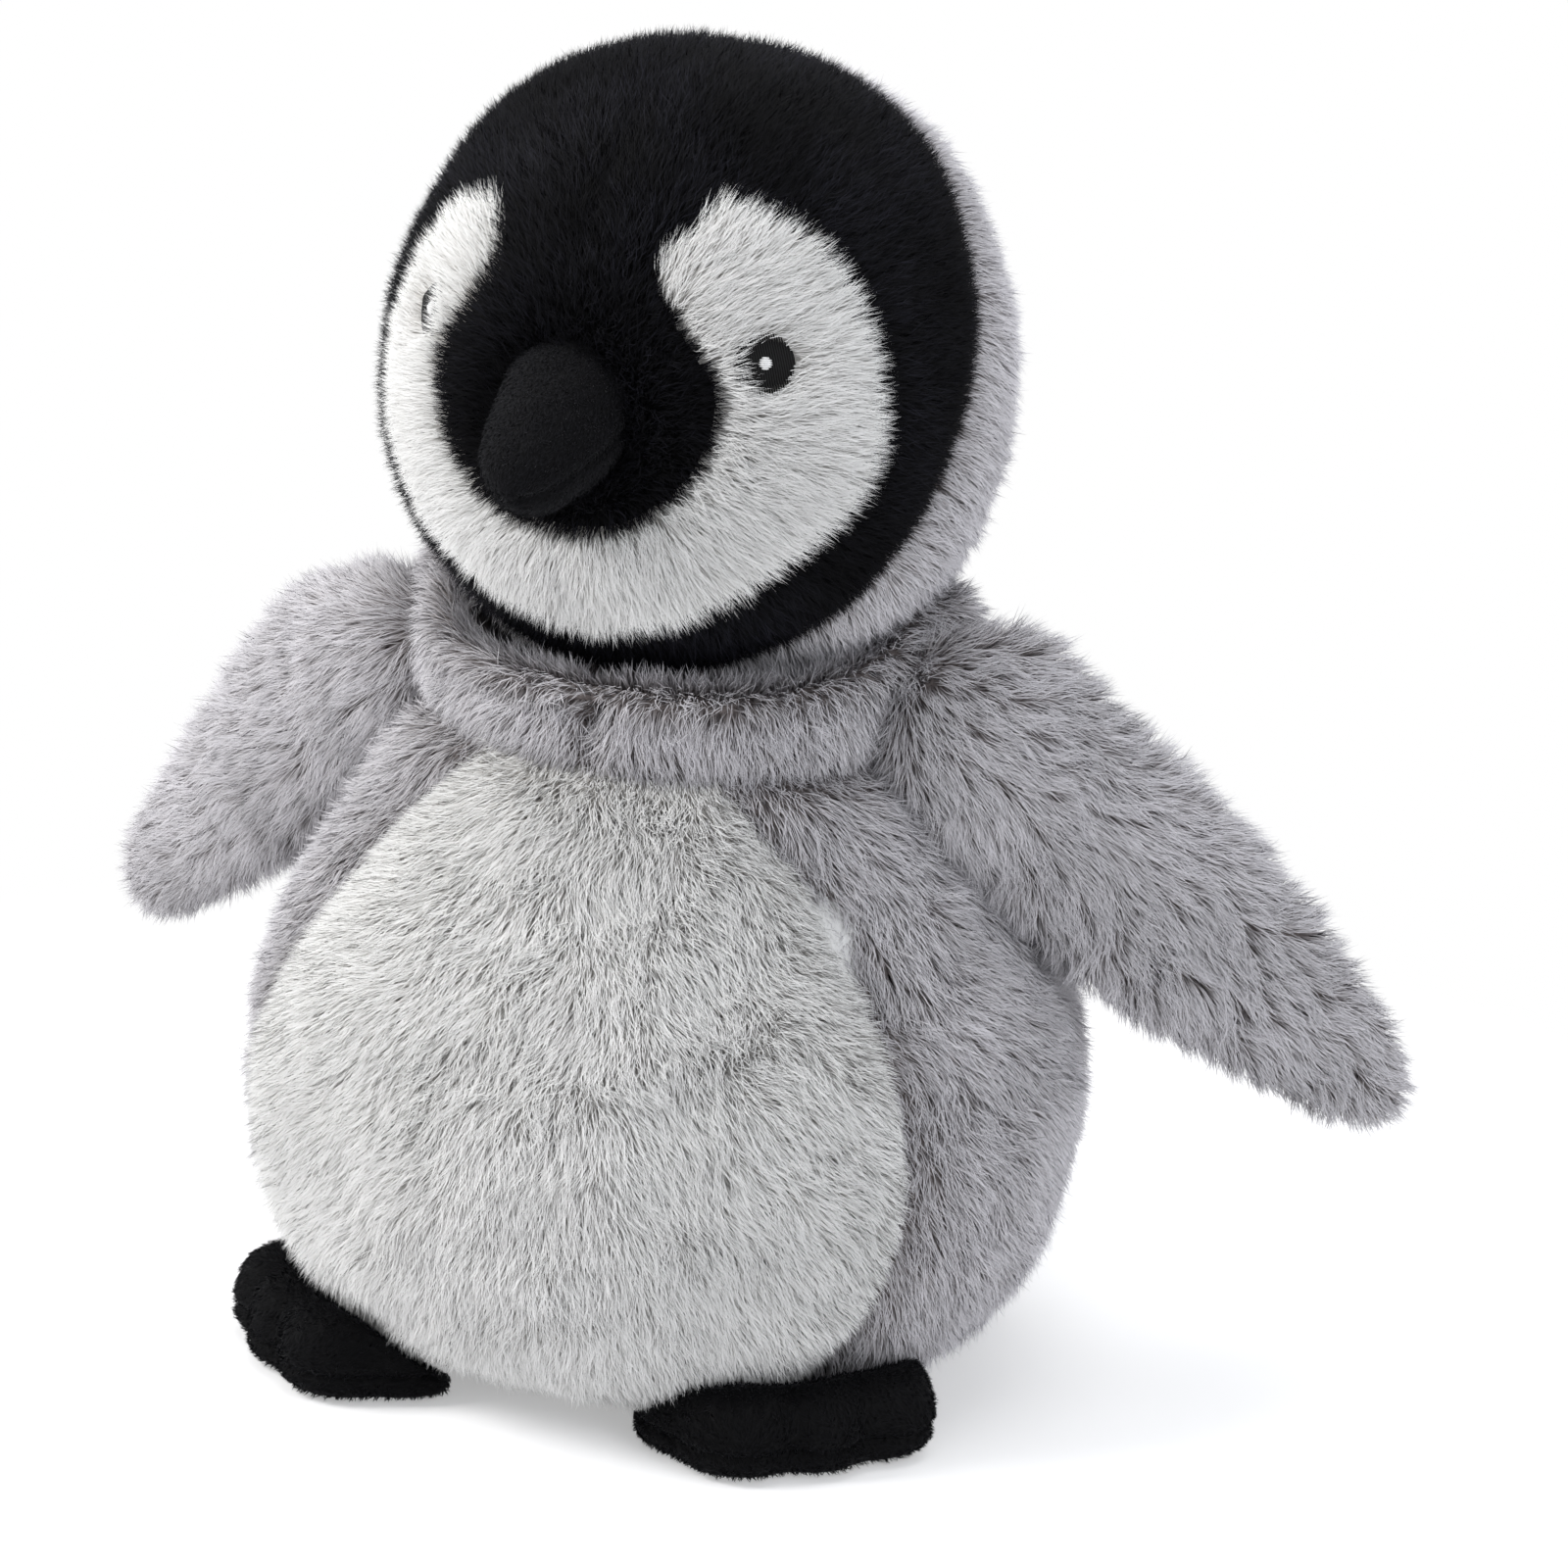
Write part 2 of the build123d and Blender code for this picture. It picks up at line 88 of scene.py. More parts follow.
# %% Wires and benches
class Wire:
    def __init__(self, bench, socket):
        self.bench, self.socket = bench, socket

    def out(self, name):
        return Wire(self.bench, self.bench.find(self.socket.node.outputs, name))

    @staticmethod
    def is_vector(value):
        return isinstance(value, tuple) or isinstance(value, Wire) and value.socket.type in ("VECTOR", "RGBA")

    def sum(self, what, a, b):
        if self.is_vector(a) or self.is_vector(b):
            if what == "MULTIPLY" and not (self.is_vector(a) and self.is_vector(b)):
                vector, number = (a, b) if self.is_vector(a) else (b, a)
                return self.bench.node("ShaderNodeVectorMath", {"operation": "SCALE"}, {0: vector, "Scale": number})
            return self.bench.node("ShaderNodeVectorMath", {"operation": what}, {0: a, 1: b})
        return self.bench.node("ShaderNodeMath", {"operation": what}, {0: a, 1: b})

    def __add__(self, other): return self.sum("ADD", self, other)
    def __radd__(self, other): return self.sum("ADD", other, self)
    def __sub__(self, other): return self.sum("SUBTRACT", self, other)
    def __rsub__(self, other): return self.sum("SUBTRACT", other, self)
    def __mul__(self, other): return self.sum("MULTIPLY", self, other)
    def __rmul__(self, other): return self.sum("MULTIPLY", other, self)
    def __truediv__(self, other): return self.sum("DIVIDE", self, other)
    def __rtruediv__(self, other): return self.sum("DIVIDE", other, self)
    def __pow__(self, other): return self.sum("POWER", self, other)
    def low(self, other): return self.sum("MINIMUM", self, other)
    def high(self, other): return self.sum("MAXIMUM", self, other)


class Bench:
    def __init__(self, tree):
        self.tree = tree

    @staticmethod
    def find(sockets, key):
        if isinstance(key, int):
            return sockets[key]
        return next(s for s in sockets if s.name == key and s.enabled and not s.is_unavailable)

    def node(self, kind, settings=None, inputs=None, out=None):
        made = self.tree.nodes.new(kind)
        for name, value in (settings or {}).items():
            setattr(made, name, value)
        for key, value in (inputs or {}).items():
            socket = self.find(made.inputs, key)
            if isinstance(value, Wire):
                self.tree.links.new(value.socket, socket)
            elif isinstance(value, list):
                for wire in value:
                    self.tree.links.new(wire.socket, socket)
            elif isinstance(value, tuple) and socket.type == "RGBA" and len(value) == 3:
                socket.default_value = (*value, 1)
            else:
                socket.default_value = value
        if out is not None:
            return Wire(self, self.find(made.outputs, out))
        shown = [s for s in made.outputs if s.enabled and not s.is_unavailable]
        return Wire(self, shown[0]) if shown else None

    def mix(self, factor, a, b):
        return self.node("ShaderNodeMix", {"data_type": "RGBA"}, {0: factor, 6: a, 7: b}, out=2)

print("benches ready")

# %% [markdown]
# ## Floor and light
# The toy stands on a pale sweep with one large soft lamp high on the left, a weaker one on the
# right and a soft one overhead. The floor is an ordinary matt surface near the toy, so the contact
# shadow is real; further out, and only for what the camera, a reflection or clear plastic sees,
# it fades to plain white. The lamps stay at a level where a colour shows about as it is written.

# %% Floor, world and lamps
def new_material(name):
    material = bpy.data.materials.new(name)
    material.use_nodes = True
    material.node_tree.nodes.clear()
    return material, Bench(material.node_tree)

def seen_directly(bench):
    path = bench.node("ShaderNodeLightPath")
    return path.out("Is Camera Ray").high(path.out("Is Glossy Ray")).high(path.out("Is Transmission Ray"))

def floor_finish():
    material, bench = new_material("pale_sweep")
    place = bench.node("ShaderNodeTexCoord", out="Object")
    distance = bench.node("ShaderNodeVectorMath", {"operation": "LENGTH"}, {0: place}, out="Value")
    far = bench.node("ShaderNodeMapRange", {"interpolation_type": "SMOOTHSTEP"},
                     {"Value": distance, "From Min": 0.13, "From Max": 0.30}, out="Result")
    matt = bench.node("ShaderNodeBsdfDiffuse", None, {"Color": (0.88, 0.88, 0.89)})
    lift = bench.node("ShaderNodeEmission", None, {"Color": (1, 1, 1), "Strength": seen_directly(bench) * 0.37})
    near_toy = bench.node("ShaderNodeAddShader", None, {0: matt, 1: lift})
    white = bench.node("ShaderNodeEmission", None, {"Color": (1, 1, 1), "Strength": 1.0})
    both = bench.node("ShaderNodeMixShader", None, {0: far * seen_directly(bench), 1: near_toy, 2: white})
    bench.node("ShaderNodeOutputMaterial", None, {"Surface": both})
    return material

def studio():
    scene = bpy.context.scene
    scene.view_settings.view_transform = "Standard"
    reach = 4.0
    mesh = bpy.data.meshes.new("floor")
    mesh.from_pydata([(-reach, -reach, 0), (reach, -reach, 0), (reach, reach, 0), (-reach, reach, 0)], [], [(0, 1, 2, 3)])
    mesh.materials.append(floor_finish())
    put_in_scene("floor", mesh)
    world = bpy.data.worlds.new("studio")
    scene.world = world
    world.use_nodes = True
    world.node_tree.nodes.clear()
    bench = Bench(world.node_tree)
    room = bench.node("ShaderNodeBackground", None, {"Color": (0.93, 0.96, 1.0), "Strength": 0.42})
    white = bench.node("ShaderNodeBackground", None, {"Color": (1, 1, 1), "Strength": 1.0})
    both = bench.node("ShaderNodeMixShader", None, {0: seen_directly(bench), 1: room, 2: white})
    bench.node("ShaderNodeOutputWorld", None, {"Surface": both})
    for name, place, size, watts, colour in (
        ("key_softbox", (-1.15, -0.75, 1.15), 0.8, 22.0, (1.0, 0.985, 0.965)),
        ("fill_softbox", (1.35, -0.75, 0.75), 1.1, 8.5, (0.94, 0.96, 1.0)),
        ("top_softbox", (0.1, 0.25, 1.5), 1.2, 10.0, (1.0, 1.0, 1.0)),
    ):
        lamp = bpy.data.lights.new(name, "AREA")
        lamp.shape, lamp.size, lamp.energy, lamp.color = "SQUARE", size, watts, colour
        made = put_in_scene(name, lamp)
        made.location = place
        made.rotation_euler = (Vector((0, 0, 0.12)) - Vector(place)).to_track_quat("-Z", "Y").to_euler()

studio()
print("floor, world and three soft lamps")

# %% [markdown]
# ## The finishes
# Plush is woven with its pile standing up. What the eye sees is thousands of fibres, shadowed deep at
# the root and paler at the tip, each lot dyed a little differently. The shadow at the root is painted
# into the colour as a darker root. So the colour is read from the strand's own small map: across it
# the strand's tone, along it root to tip. Two strands that share a place on the map share a colour.

# %% Plush finishes
def plush_finish(name, root, middle, tip, rough, sheen, sheen_tint, tone_swing, shine=0.25, glint=0.0):
    material, bench = new_material(name)
    strand = bench.node("ShaderNodeUVMap", {"uv_map": "OFBake"})
    parts = bench.node("ShaderNodeSeparateXYZ", None, {0: strand}, out="X")
    tone, along = parts, parts.out("Y")
    # the root colour is painted shadow: each strand's base is darkened as if shaded deep in the pile
    lower = bench.mix((along * 7.0).low(1.0), root, middle)
    colour = bench.mix((along * 4.4 - 0.35).high(0.0).low(1.0), lower, tip)
    # the tone-to-the-fifth term is a painted highlight: bright flecks on the palest strands stand in for the sheen
    # that glints on black pile
    dyed = colour * (tone * tone_swing + (1.0 - tone_swing * 0.5) + tone * tone * tone * tone * tone * glint)
    skin = bench.node("ShaderNodeBsdfPrincipled", None, {
        "Base Color": dyed, "Roughness": rough - along * 0.15, "Sheen Weight": sheen, "Sheen Roughness": 0.45,
        "Sheen Tint": sheen_tint, "Specular IOR Level": shine})
    bench.node("ShaderNodeOutputMaterial", None, {"Surface": skin})
    return material

# root colour (darkened as painted shadow), middle and tip colours, roughness, sheen and its tint, swing of tone,
# shine, painted glints
dyes = {
    "cream_plush": ((0.52, 0.50, 0.475), (0.85, 0.845, 0.83), (0.95, 0.95, 0.945), 0.92, 0.15, (1, 1, 1), 0.22),
    "grey_plush": ((0.15, 0.125, 0.118), (0.53, 0.51, 0.525), (0.84, 0.83, 0.87), 0.92, 0.15, (0.92, 0.92, 1), 0.36),
    "black_plush": ((0.0006, 0.0006, 0.0009), (0.0012, 0.0012, 0.0018), (0.0044, 0.0044, 0.0060),
                    0.62, 0.012, (0.75, 0.78, 0.95), 1.1, 0.07, 7.0),
    "black_minky": ((0.0010, 0.0010, 0.0014), (0.0020, 0.0020, 0.0027), (0.0056, 0.0056, 0.0073),
                    0.7, 0.04, (0.8, 0.82, 0.92), 0.8, 0.1),
    "beak_velvet": ((0.002, 0.002, 0.0026), (0.0062, 0.0062, 0.0078), (0.0140, 0.0140, 0.017),
                    0.75, 0.10, (0.85, 0.86, 0.92), 0.7, 0.1),
}
plush = {name: plush_finish(name, *dye) for name, dye in dyes.items()}
print("plush finishes:", sorted(plush))

# %% [markdown]
# ## The pile
# One Geometry Nodes tree grows every coat on the toy. It scatters roots on the skin, points each
# strand outwards and along the lay of the cloth, lets neighbours lean together into small locks,
# and sets one tapered, arched ribbon of three triangles on each root. Ribbons are used rather than
# tubes because more than half a million strands must stay light.

# %% The pile tree
def socket_in(tree, name, kind):
    return tree.interface.new_socket(name=name, in_out="INPUT", socket_type=kind).identifier

def keep(bench, geometry, name, value, domain="POINT", kind="FLOAT"):
    return bench.node("GeometryNodeStoreNamedAttribute", {"data_type": kind, "domain": domain},
                      {"Geometry": geometry, "Name": name, "Value": value})

def named(bench, name, kind="FLOAT"):
    return bench.node("GeometryNodeInputNamedAttribute", {"data_type": kind}, {"Name": name}, out="Attribute")

def chance(bench, low, high, seed):
    return bench.node("FunctionNodeRandomValue", {"data_type": "FLOAT"}, {2: low, 3: high, 8: seed}, out=1)

def pile_tree():
    tree = bpy.data.node_groups.new("pile", "GeometryNodeTree")
    names = {"Skin": socket_in(tree, "Skin", "NodeSocketGeometry")}
    for name in ("Strands per Area", "Length", "Width", "Lean", "Lock Size", "Lock Pull", "Swirl", "Unruly", "Arch"):
        names[name] = socket_in(tree, name, "NodeSocketFloat")
    names["Seed"] = socket_in(tree, "Seed", "NodeSocketInt")
    names["Plush"] = socket_in(tree, "Plush", "NodeSocketMaterial")
    tree.interface.new_socket(name="Coat", in_out="OUTPUT", socket_type="NodeSocketGeometry")
    bench = Bench(tree)
    given = bench.node("NodeGroupInput")

    grid = bench.node("GeometryNodeMeshGrid", None, {"Size X": 1.0, "Size Y": 1.0, "Vertices X": 2, "Vertices Y": 3}, out="Mesh")
    corner = bench.node("ShaderNodeSeparateXYZ", None, {0: bench.node("GeometryNodeInputPosition")}, out="X")
    along = corner.out("Y") + 0.5
    ribbon = keep(bench, keep(bench, grid, "along", along), "edge", corner)
    t, x = named(bench, "along"), named(bench, "edge")
    bent = bench.node("ShaderNodeCombineXYZ", None, {"X": x * (t - 1.0) * 1.25, "Y": t * (1.0 - t) * given.out("Arch"), "Z": t})
    ribbon = bench.node("GeometryNodeSetPosition", None, {"Geometry": ribbon, "Position": bent})
    ribbon = bench.node("GeometryNodeMergeByDistance", None, {"Geometry": ribbon, "Distance": 0.001})

    scattered = bench.node("GeometryNodeDistributePointsOnFaces", {"distribute_method": "RANDOM"}, {
        "Mesh": given.out("Skin"), "Density": given.out("Strands per Area") * named(bench, "cover"),
        "Seed": given.out("Seed")}, out="Points")
    outward = scattered.out("Normal")
    place = bench.node("GeometryNodeInputPosition")
    lock_scale = 1.0 / given.out("Lock Size")
    lock = bench.node("ShaderNodeTexVoronoi", {"feature": "F1"},
                      {"Vector": place, "Scale": lock_scale, "Randomness": 1.0}, out="Position")
    pull = (lock - place) * (given.out("Lock Pull") / given.out("Length"))
    swirl = bench.node("ShaderNodeTexNoise", None, {"Vector": place, "Scale": 88.0, "Detail": 3.0}, out="Color") - (0.5, 0.5, 0.5)
    stray = bench.node("FunctionNodeRandomValue", {"data_type": "FLOAT_VECTOR"}, {0: (-1, -1, -1), 1: (1, 1, 1), 8: 11}, out=0)
    lean = given.out("Lean")
    lay = named(bench, "lay", "FLOAT_VECTOR")
    sideways = pull + swirl * given.out("Swirl") + stray * given.out("Unruly")
    into_skin = bench.node("ShaderNodeVectorMath", {"operation": "DOT_PRODUCT"},
                           {0: sideways, 1: outward}, out="Value")
    flat = sideways - outward * into_skin
    heading = bench.node("ShaderNodeVectorMath", {"operation": "NORMALIZE"},
                         {0: outward * (1.0 - lean) + lay * lean + flat})
    turned = bench.node("FunctionNodeAlignRotationToVector", {"axis": "Z"}, {"Vector": heading})
    facing = outward + bench.node("FunctionNodeRandomValue", {"data_type": "FLOAT_VECTOR"},
                                  {0: (-0.8,) * 3, 1: (0.8,) * 3, 8: 23}, out=0)
    turned = bench.node("FunctionNodeAlignRotationToVector", {"axis": "Y", "pivot_axis": "Z"},
                        {"Rotation": turned, "Vector": facing})
    long = given.out("Length") * named(bench, "tall") * chance(bench, 0.78, 1.16, 31)
    wide = given.out("Width") * chance(bench, 0.8, 1.2, 37)
    size = bench.node("ShaderNodeCombineXYZ", None, {"X": wide, "Y": long, "Z": long})
    patches = bench.node("ShaderNodeTexNoise", None, {"Vector": place, "Scale": 42.0, "Detail": 3.0}, out=0)
    # seam grooves darken the tone: painted shadow where a crease would shade the pile
    tone = ((patches - 0.5) * 1.3 + chance(bench, 0.1, 0.9, 41) - named(bench, "shade") * 0.5).high(0.02).low(0.98)
    roots = keep(bench, keep(bench, scattered, "tone", tone), "out_dir", outward, kind="FLOAT_VECTOR")
    coat = bench.node("GeometryNodeInstanceOnPoints", None, {"Points": roots, "Instance": ribbon, "Rotation": turned, "Scale": size})
    coat = bench.node("GeometryNodeRealizeInstances", None, {"Geometry": coat})
    spot = named(bench, "tone") * 0.94 + 0.03 + named(bench, "edge") * 0.003
    on_map = bench.node("ShaderNodeCombineXYZ", None, {"X": spot, "Y": named(bench, "along") * 0.25 + 0.006})
    coat = keep(bench, coat, "OFBake", on_map, "CORNER", "FLOAT2")
    # the bare skin reads the root end of the map, so it carries the painted root shadow too
    ground = bench.node("ShaderNodeSeparateXYZ", None, {0: place}, out="X")
    under = keep(bench, given.out("Skin"), "OFBake", bench.node("ShaderNodeCombineXYZ", None, {
        "X": ground * 0.6 + 0.45, "Y": ground.out("Z") * 0.02 + ground.out("Y") * 0.004 + 0.006}), "CORNER", "FLOAT2")
    under = keep(bench, under, "out_dir", bench.node("GeometryNodeInputNormal"), kind="FLOAT_VECTOR")
    whole = bench.node("GeometryNodeJoinGeometry", None, {"Geometry": [under, coat]})
    whole = bench.node("GeometryNodeSetMaterial", None, {"Geometry": whole, "Material": given.out("Plush")})
    bench.node("NodeGroupOutput", None, {0: whole})
    return tree, names

pile, pile_inputs = pile_tree()
print("pile tree:", len(pile.nodes), "nodes")

# %% [markdown]
# ## Skins
# A skin is a fine grid of points over the shape under the pile. Four things are written on each
# point: which way the pile lies, how tall it is, how thickly it stands and how much painted shadow
# darkens it at a seam.
# `Surface` holds such a grid with its normals, `sew` cuts one panel out of it and grows the coat.

# %% Surfaces and panels
def smooth_line(points, step):
    """A smooth line through points, with its stops the same distance apart."""
    p = np.array(points, float)
    p = np.vstack([2 * p[0] - p[1], p, 2 * p[-1] - p[-2]])
    t = np.linspace(0, 1, 24, endpoint=False)[:, None]
    runs = [0.5 * (2 * b + (c - a) * t + (2 * a - 5 * b + 4 * c - d) * t ** 2 + (3 * b - a - 3 * c + d) * t ** 3)
            for a, b, c, d in zip(p[:-3], p[1:-2], p[2:-1], p[3:])]
    line = np.vstack(runs + [p[-2:-1]])
    far = np.concatenate([[0], np.cumsum(np.linalg.norm(np.diff(line, axis=0), axis=1))])
    stops = np.linspace(0, far[-1], max(2, int(round(far[-1] / step)) + 1))
    return np.stack([np.interp(stops, far, line[:, k]) for k in range(line.shape[1])], 1)

def inside_by(points, outline):
    """How far each 2-D point is inside a closed outline, negative outside."""
    a, b = outline, np.roll(outline, -1, 0)
    best, odd = np.full(len(points), 1e9), np.zeros(len(points), bool)
    for p, q in zip(a, b):
        d = q - p
        t = np.clip(((points - p) @ d) / max(d @ d, 1e-12), 0, 1)
        best = np.minimum(best, np.linalg.norm(points - p - t[:, None] * d, axis=1))
        if p[1] != q[1]:
            crosses = (p[1] > points[:, 1]) != (q[1] > points[:, 1])
            odd ^= crosses & (points[:, 0] < d[0] * (points[:, 1] - p[1]) / d[1] + p[0])
    return np.where(odd, best, -best)

def unit(v):
    return v / np.maximum(np.linalg.norm(v, axis=-1, keepdims=True), 1e-9)

def wavy(p, size, seed):
    """A soft irregular field between about -1 and 1, the same each time."""
    rng = np.random.default_rng(seed)
    total = np.zeros(len(p))
    for k in range(7):
        way = unit(rng.normal(size=3)) * 2 * math.pi / (size * rng.uniform(0.7, 1.6))
        total += np.sin(p @ way + rng.uniform(0, 6.28))
    return total / 3.2

class Surface:
    """A closed grid: rows of points between two poles, with faces turned outwards."""
    def __init__(self, rows, first=None, last=None):
        n, m = rows.shape[:2]
        first = rows[0].mean(0) if first is None else first
        last = rows[-1].mean(0) if last is None else last
        self.at = np.vstack([[first], rows.reshape(-1, 3), [last]])
        i = np.arange(m)
        j = (i + 1) % m
        faces = [(0, 1 + b, 1 + a) for a, b in zip(i, j)]
        for r in range(n - 1):
            faces += [(1 + r * m + a, 1 + r * m + b, 1 + (r + 1) * m + b, 1 + (r + 1) * m + a) for a, b in zip(i, j)]
        faces += [(n * m + 1, 1 + (n - 1) * m + a, 1 + (n - 1) * m + b) for a, b in zip(i, j)]
        corners = np.array([f if len(f) == 4 else (*f, f[2]) for f in faces])
        p = self.at[corners]
        area = np.cross(p[:, 2] - p[:, 0], p[:, 3] - p[:, 1])
        if np.sum(area * (p.mean(1) - self.at.mean(0))) < 0:
            corners = corners[:, ::-1].copy()
            faces = [f[::-1] for f in faces]
        self.faces, self.corners = faces, corners
        self.find_normals()

    def find_normals(self):
        p = self.at[self.corners]
        area = np.cross(p[:, 2] - p[:, 0], p[:, 3] - p[:, 1])
        self.normal = np.zeros_like(self.at)
        for k in range(4):
            np.add.at(self.normal, self.corners[:, k], area)
        self.normal = unit(self.normal)

    def lie(self, v, nudge=0.0):
        """Turns directions to lie along the skin; the nudge keeps them from vanishing at a pole."""
        return unit(v - self.normal * (v * self.normal).sum(1)[:, None] + nudge)

    def snap(self, distance, reach):
        """Slides points that are near a seam onto it, so that a panel's edge is a clean line."""
        far = distance(self.at)
        near = np.abs(far) < reach
        slope = np.stack([(distance(self.at + e) - distance(self.at - e)) / 0.2 for e in np.eye(3) * 0.1], 1)
        size = np.maximum((slope ** 2).sum(1), 0.3)
        self.at[near] -= (far / size)[near, None] * slope[near]

def write_field(mesh, field, kind, values):
    """Writes one value or vector on every point of a mesh."""
    entry = "value" if kind == "FLOAT" else "vector"
    mesh.attributes.new(field, kind, "POINT").data.foreach_set(entry, values.astype(np.float32).ravel())

def work_out(piece, name, tree, inputs):
    """Runs a tree on a piece and leaves the result as its plain, smooth mesh."""
    growing = piece.modifiers.new(name, "NODES")
    growing.node_group = tree
    for identifier, value in inputs.items():
        growing[identifier] = value
    bpy.context.view_layer.update()
    piece.data = bpy.data.meshes.new_from_object(piece.evaluated_get(bpy.context.evaluated_depsgraph_get()))
    piece.modifiers.clear()
    piece.data.polygons.foreach_set("use_smooth", np.ones(len(piece.data.polygons), bool))
    return piece.data

def hang(piece, body, nodes):
    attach(piece, body)
    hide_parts(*nodes)

lowest_pile = 0.0002          # no strand reaches through the table, in metres
skin_share = 0.62             # how much a strand is lit as the skin under it, the rest as itself

def sew(name, body, slot, surface, keep_face, fields, coat, nodes):
    """Cuts one panel from a surface, grows its coat, and hangs the finished piece on its body."""
    chosen = [f for f, k in zip(surface.faces, keep_face) if k]
    used = np.unique(np.concatenate([np.array(f) for f in chosen]))
    new = np.full(len(surface.at), -1)
    new[used] = np.arange(len(used))
    mesh = bpy.data.meshes.new(name)
    mesh.from_pydata((surface.at[used] * mm).tolist(), [], [[int(new[v]) for v in f] for f in chosen])
    for field in ("tall", "cover", "shade"):
        write_field(mesh, field, "FLOAT", fields[field][used])
    write_field(mesh, "lay", "FLOAT_VECTOR", fields["lay"][used])
    piece = put_in_scene(name, mesh)
    grown = work_out(piece, "pile", pile, {pile_inputs[key]: value for key, value in {"Plush": plush[slot], **coat}.items()})
    grown.name = name
    bpy.data.meshes.remove(mesh)
    count = len(grown.vertices)
    places = np.zeros(count * 3, np.float32)
    grown.vertices.foreach_get("co", places)
    places[2::3] = np.maximum(places[2::3], lowest_pile)
    grown.vertices.foreach_set("co", places)
    own = np.zeros(count * 3, np.float32)
    grown.vertex_normals.foreach_get("vector", own)
    wanted = np.zeros(count * 3, np.float32)
    grown.attributes["out_dir"].data.foreach_get("vector", wanted)
    soft = unit(unit(wanted.reshape(-1, 3)) * skin_share + unit(own.reshape(-1, 3)) * (1 - skin_share))
    for field in ("out_dir", "tone", "along", "edge", "tall", "cover", "shade", "lay"):
        if field in grown.attributes:
            grown.attributes.remove(grown.attributes[field])
    grown.normals_split_custom_set_from_vertices(soft)
    hang(piece, body, nodes)
    print(f"{name}: {len(chosen)} skin faces, {len(grown.polygons) - len(chosen)} strand faces")

def coat_of(per_mm2, length, width, lean=0.6, lock=5.0, pull=0.5, swirl=0.9, unruly=0.16, arch=0.5, seed=1):
    return {"Strands per Area": per_mm2 * 1e6, "Length": length * mm, "Width": width * mm, "Lean": lean, "Lock Size": lock * mm,
            "Lock Pull": pull, "Swirl": swirl, "Unruly": unruly, "Arch": arch, "Seed": seed}

def blank_fields(surface):
    ones = np.ones(len(surface.at))
    return {"tall": ones.copy(), "cover": ones.copy(), "shade": ones * 0, "lay": np.zeros_like(surface.at)}

print("surfaces and panels ready")

# %% [markdown]
# ## What is inside
# Nobody sees the filling, but the model keeps it: loose fibre in every stuffed part and a cloth
# pouch of pellets in the seat. The wads of the body, neck, head, wings and feet are made smaller
# than their space, so that they can't press through a skin. The beak's filling, the pouch and its
# pellets keep their CAD shape and only get a proper finish.

# %% Filling, pouch and pellets
def inner_finish(name, pale, dark, scale, bump_depth, rough, kind):
    material, bench = new_material(name)
    place = bench.node("ShaderNodeTexCoord", out="Object")
    if kind == "grains":
        pattern = bench.node("ShaderNodeTexVoronoi", {"feature": "F1"}, {"Vector": place, "Scale": scale}, out="Distance")
    elif kind == "weave":
        bands = [bench.node("ShaderNodeTexWave", {"bands_direction": way}, {"Vector": place, "Scale": scale, "Distortion": 0.4}, out=1) for way in ("X", "Z")]
        pattern = bands[0] * bands[1]
    else:
        pattern = bench.node("ShaderNodeTexNoise", None, {"Vector": place, "Scale": scale, "Detail": 6.0, "Distortion": 1.5}, out=0)
    bump = bench.node("ShaderNodeBump", None, {"Strength": 0.6, "Distance": bump_depth, "Height": pattern})
    skin = bench.node("ShaderNodeBsdfPrincipled", None, {"Base Color": bench.mix(pattern, dark, pale), "Roughness": rough + pattern * 0.1, "Normal": bump})
    bench.node("ShaderNodeOutputMaterial", None, {"Surface": skin})
    return material

inner = {
    "fibre_filling": inner_finish("fibre_filling", (0.9, 0.9, 0.9), (0.62, 0.62, 0.61), 240.0, 0.0012, 0.85, "fluff"),
    "pouch_cloth": inner_finish("pouch_cloth", (0.78, 0.76, 0.70), (0.55, 0.53, 0.48), 420.0, 0.0003, 0.8, "weave"),
    "pellets": inner_finish("pellets", (0.70, 0.66, 0.52), (0.42, 0.38, 0.28), 330.0, 0.0012, 0.45, "grains"),
}

def wad(name, body, surface, depth, node):
    surface.at = surface.at - surface.normal * (depth + 0.12 * depth * wavy(surface.at, 18.0, 61))[:, None]
    mesh = bpy.data.meshes.new(name)
    mesh.from_pydata((surface.at * mm).tolist(), [], [list(map(int, f)) for f in surface.faces])
    mesh.polygons.foreach_set("use_smooth", np.ones(len(mesh.polygons), bool))
    mesh.materials.append(inner["fibre_filling"])
    piece = put_in_scene(name, mesh)
    hang(piece, body, [node])

for node, material in [("beak_stuffing", "fibre_filling"), ("pouch_top", "pouch_cloth"), ("pouch_bottom", "pouch_cloth"), ("pellet_fill", "pellets")]:
    inside_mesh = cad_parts[node].data
    inside_mesh.materials.clear()
    inside_mesh.materials.append(inner[material])
print("inner finishes:", sorted(inner))

# %% [markdown]
# ## The body
# The real body is five panels over a stuffed bag: a cream belly, two grey sides that meet at the
# back, a grey collar and a flat base. Their shape is one smooth turned profile, so the skin is that
# profile swept round, four millimetres under the outer surface, which leaves room for the pile.
# Seams pull the skin inwards and their roots get painted shadow, and slow waves keep it from looking turned.
# Cloth could be simulated here; moves in code were chosen, because long pile hides small folds.

# %% The body's surface
# height and radius of the torso; the half outline of the belly panel; the line under the head
torso_girth = [(0, 49), (10, 66), (20, 74.5), (30, 79.5), (42, 82.5), (57, 83.5), (77, 79.5), (97, 70), (115, 60),
               (132, 53), (152, 49.5)]
belly_half = [(34, 1), (52, 12), (64, 30), (68, 50), (66, 72), (58.5, 92), (49, 108), (38, 120), (26, 131)]
collar_height = 131.0
far_off = -40.0               # stands for "nowhere near this seam", in mm outside a panel

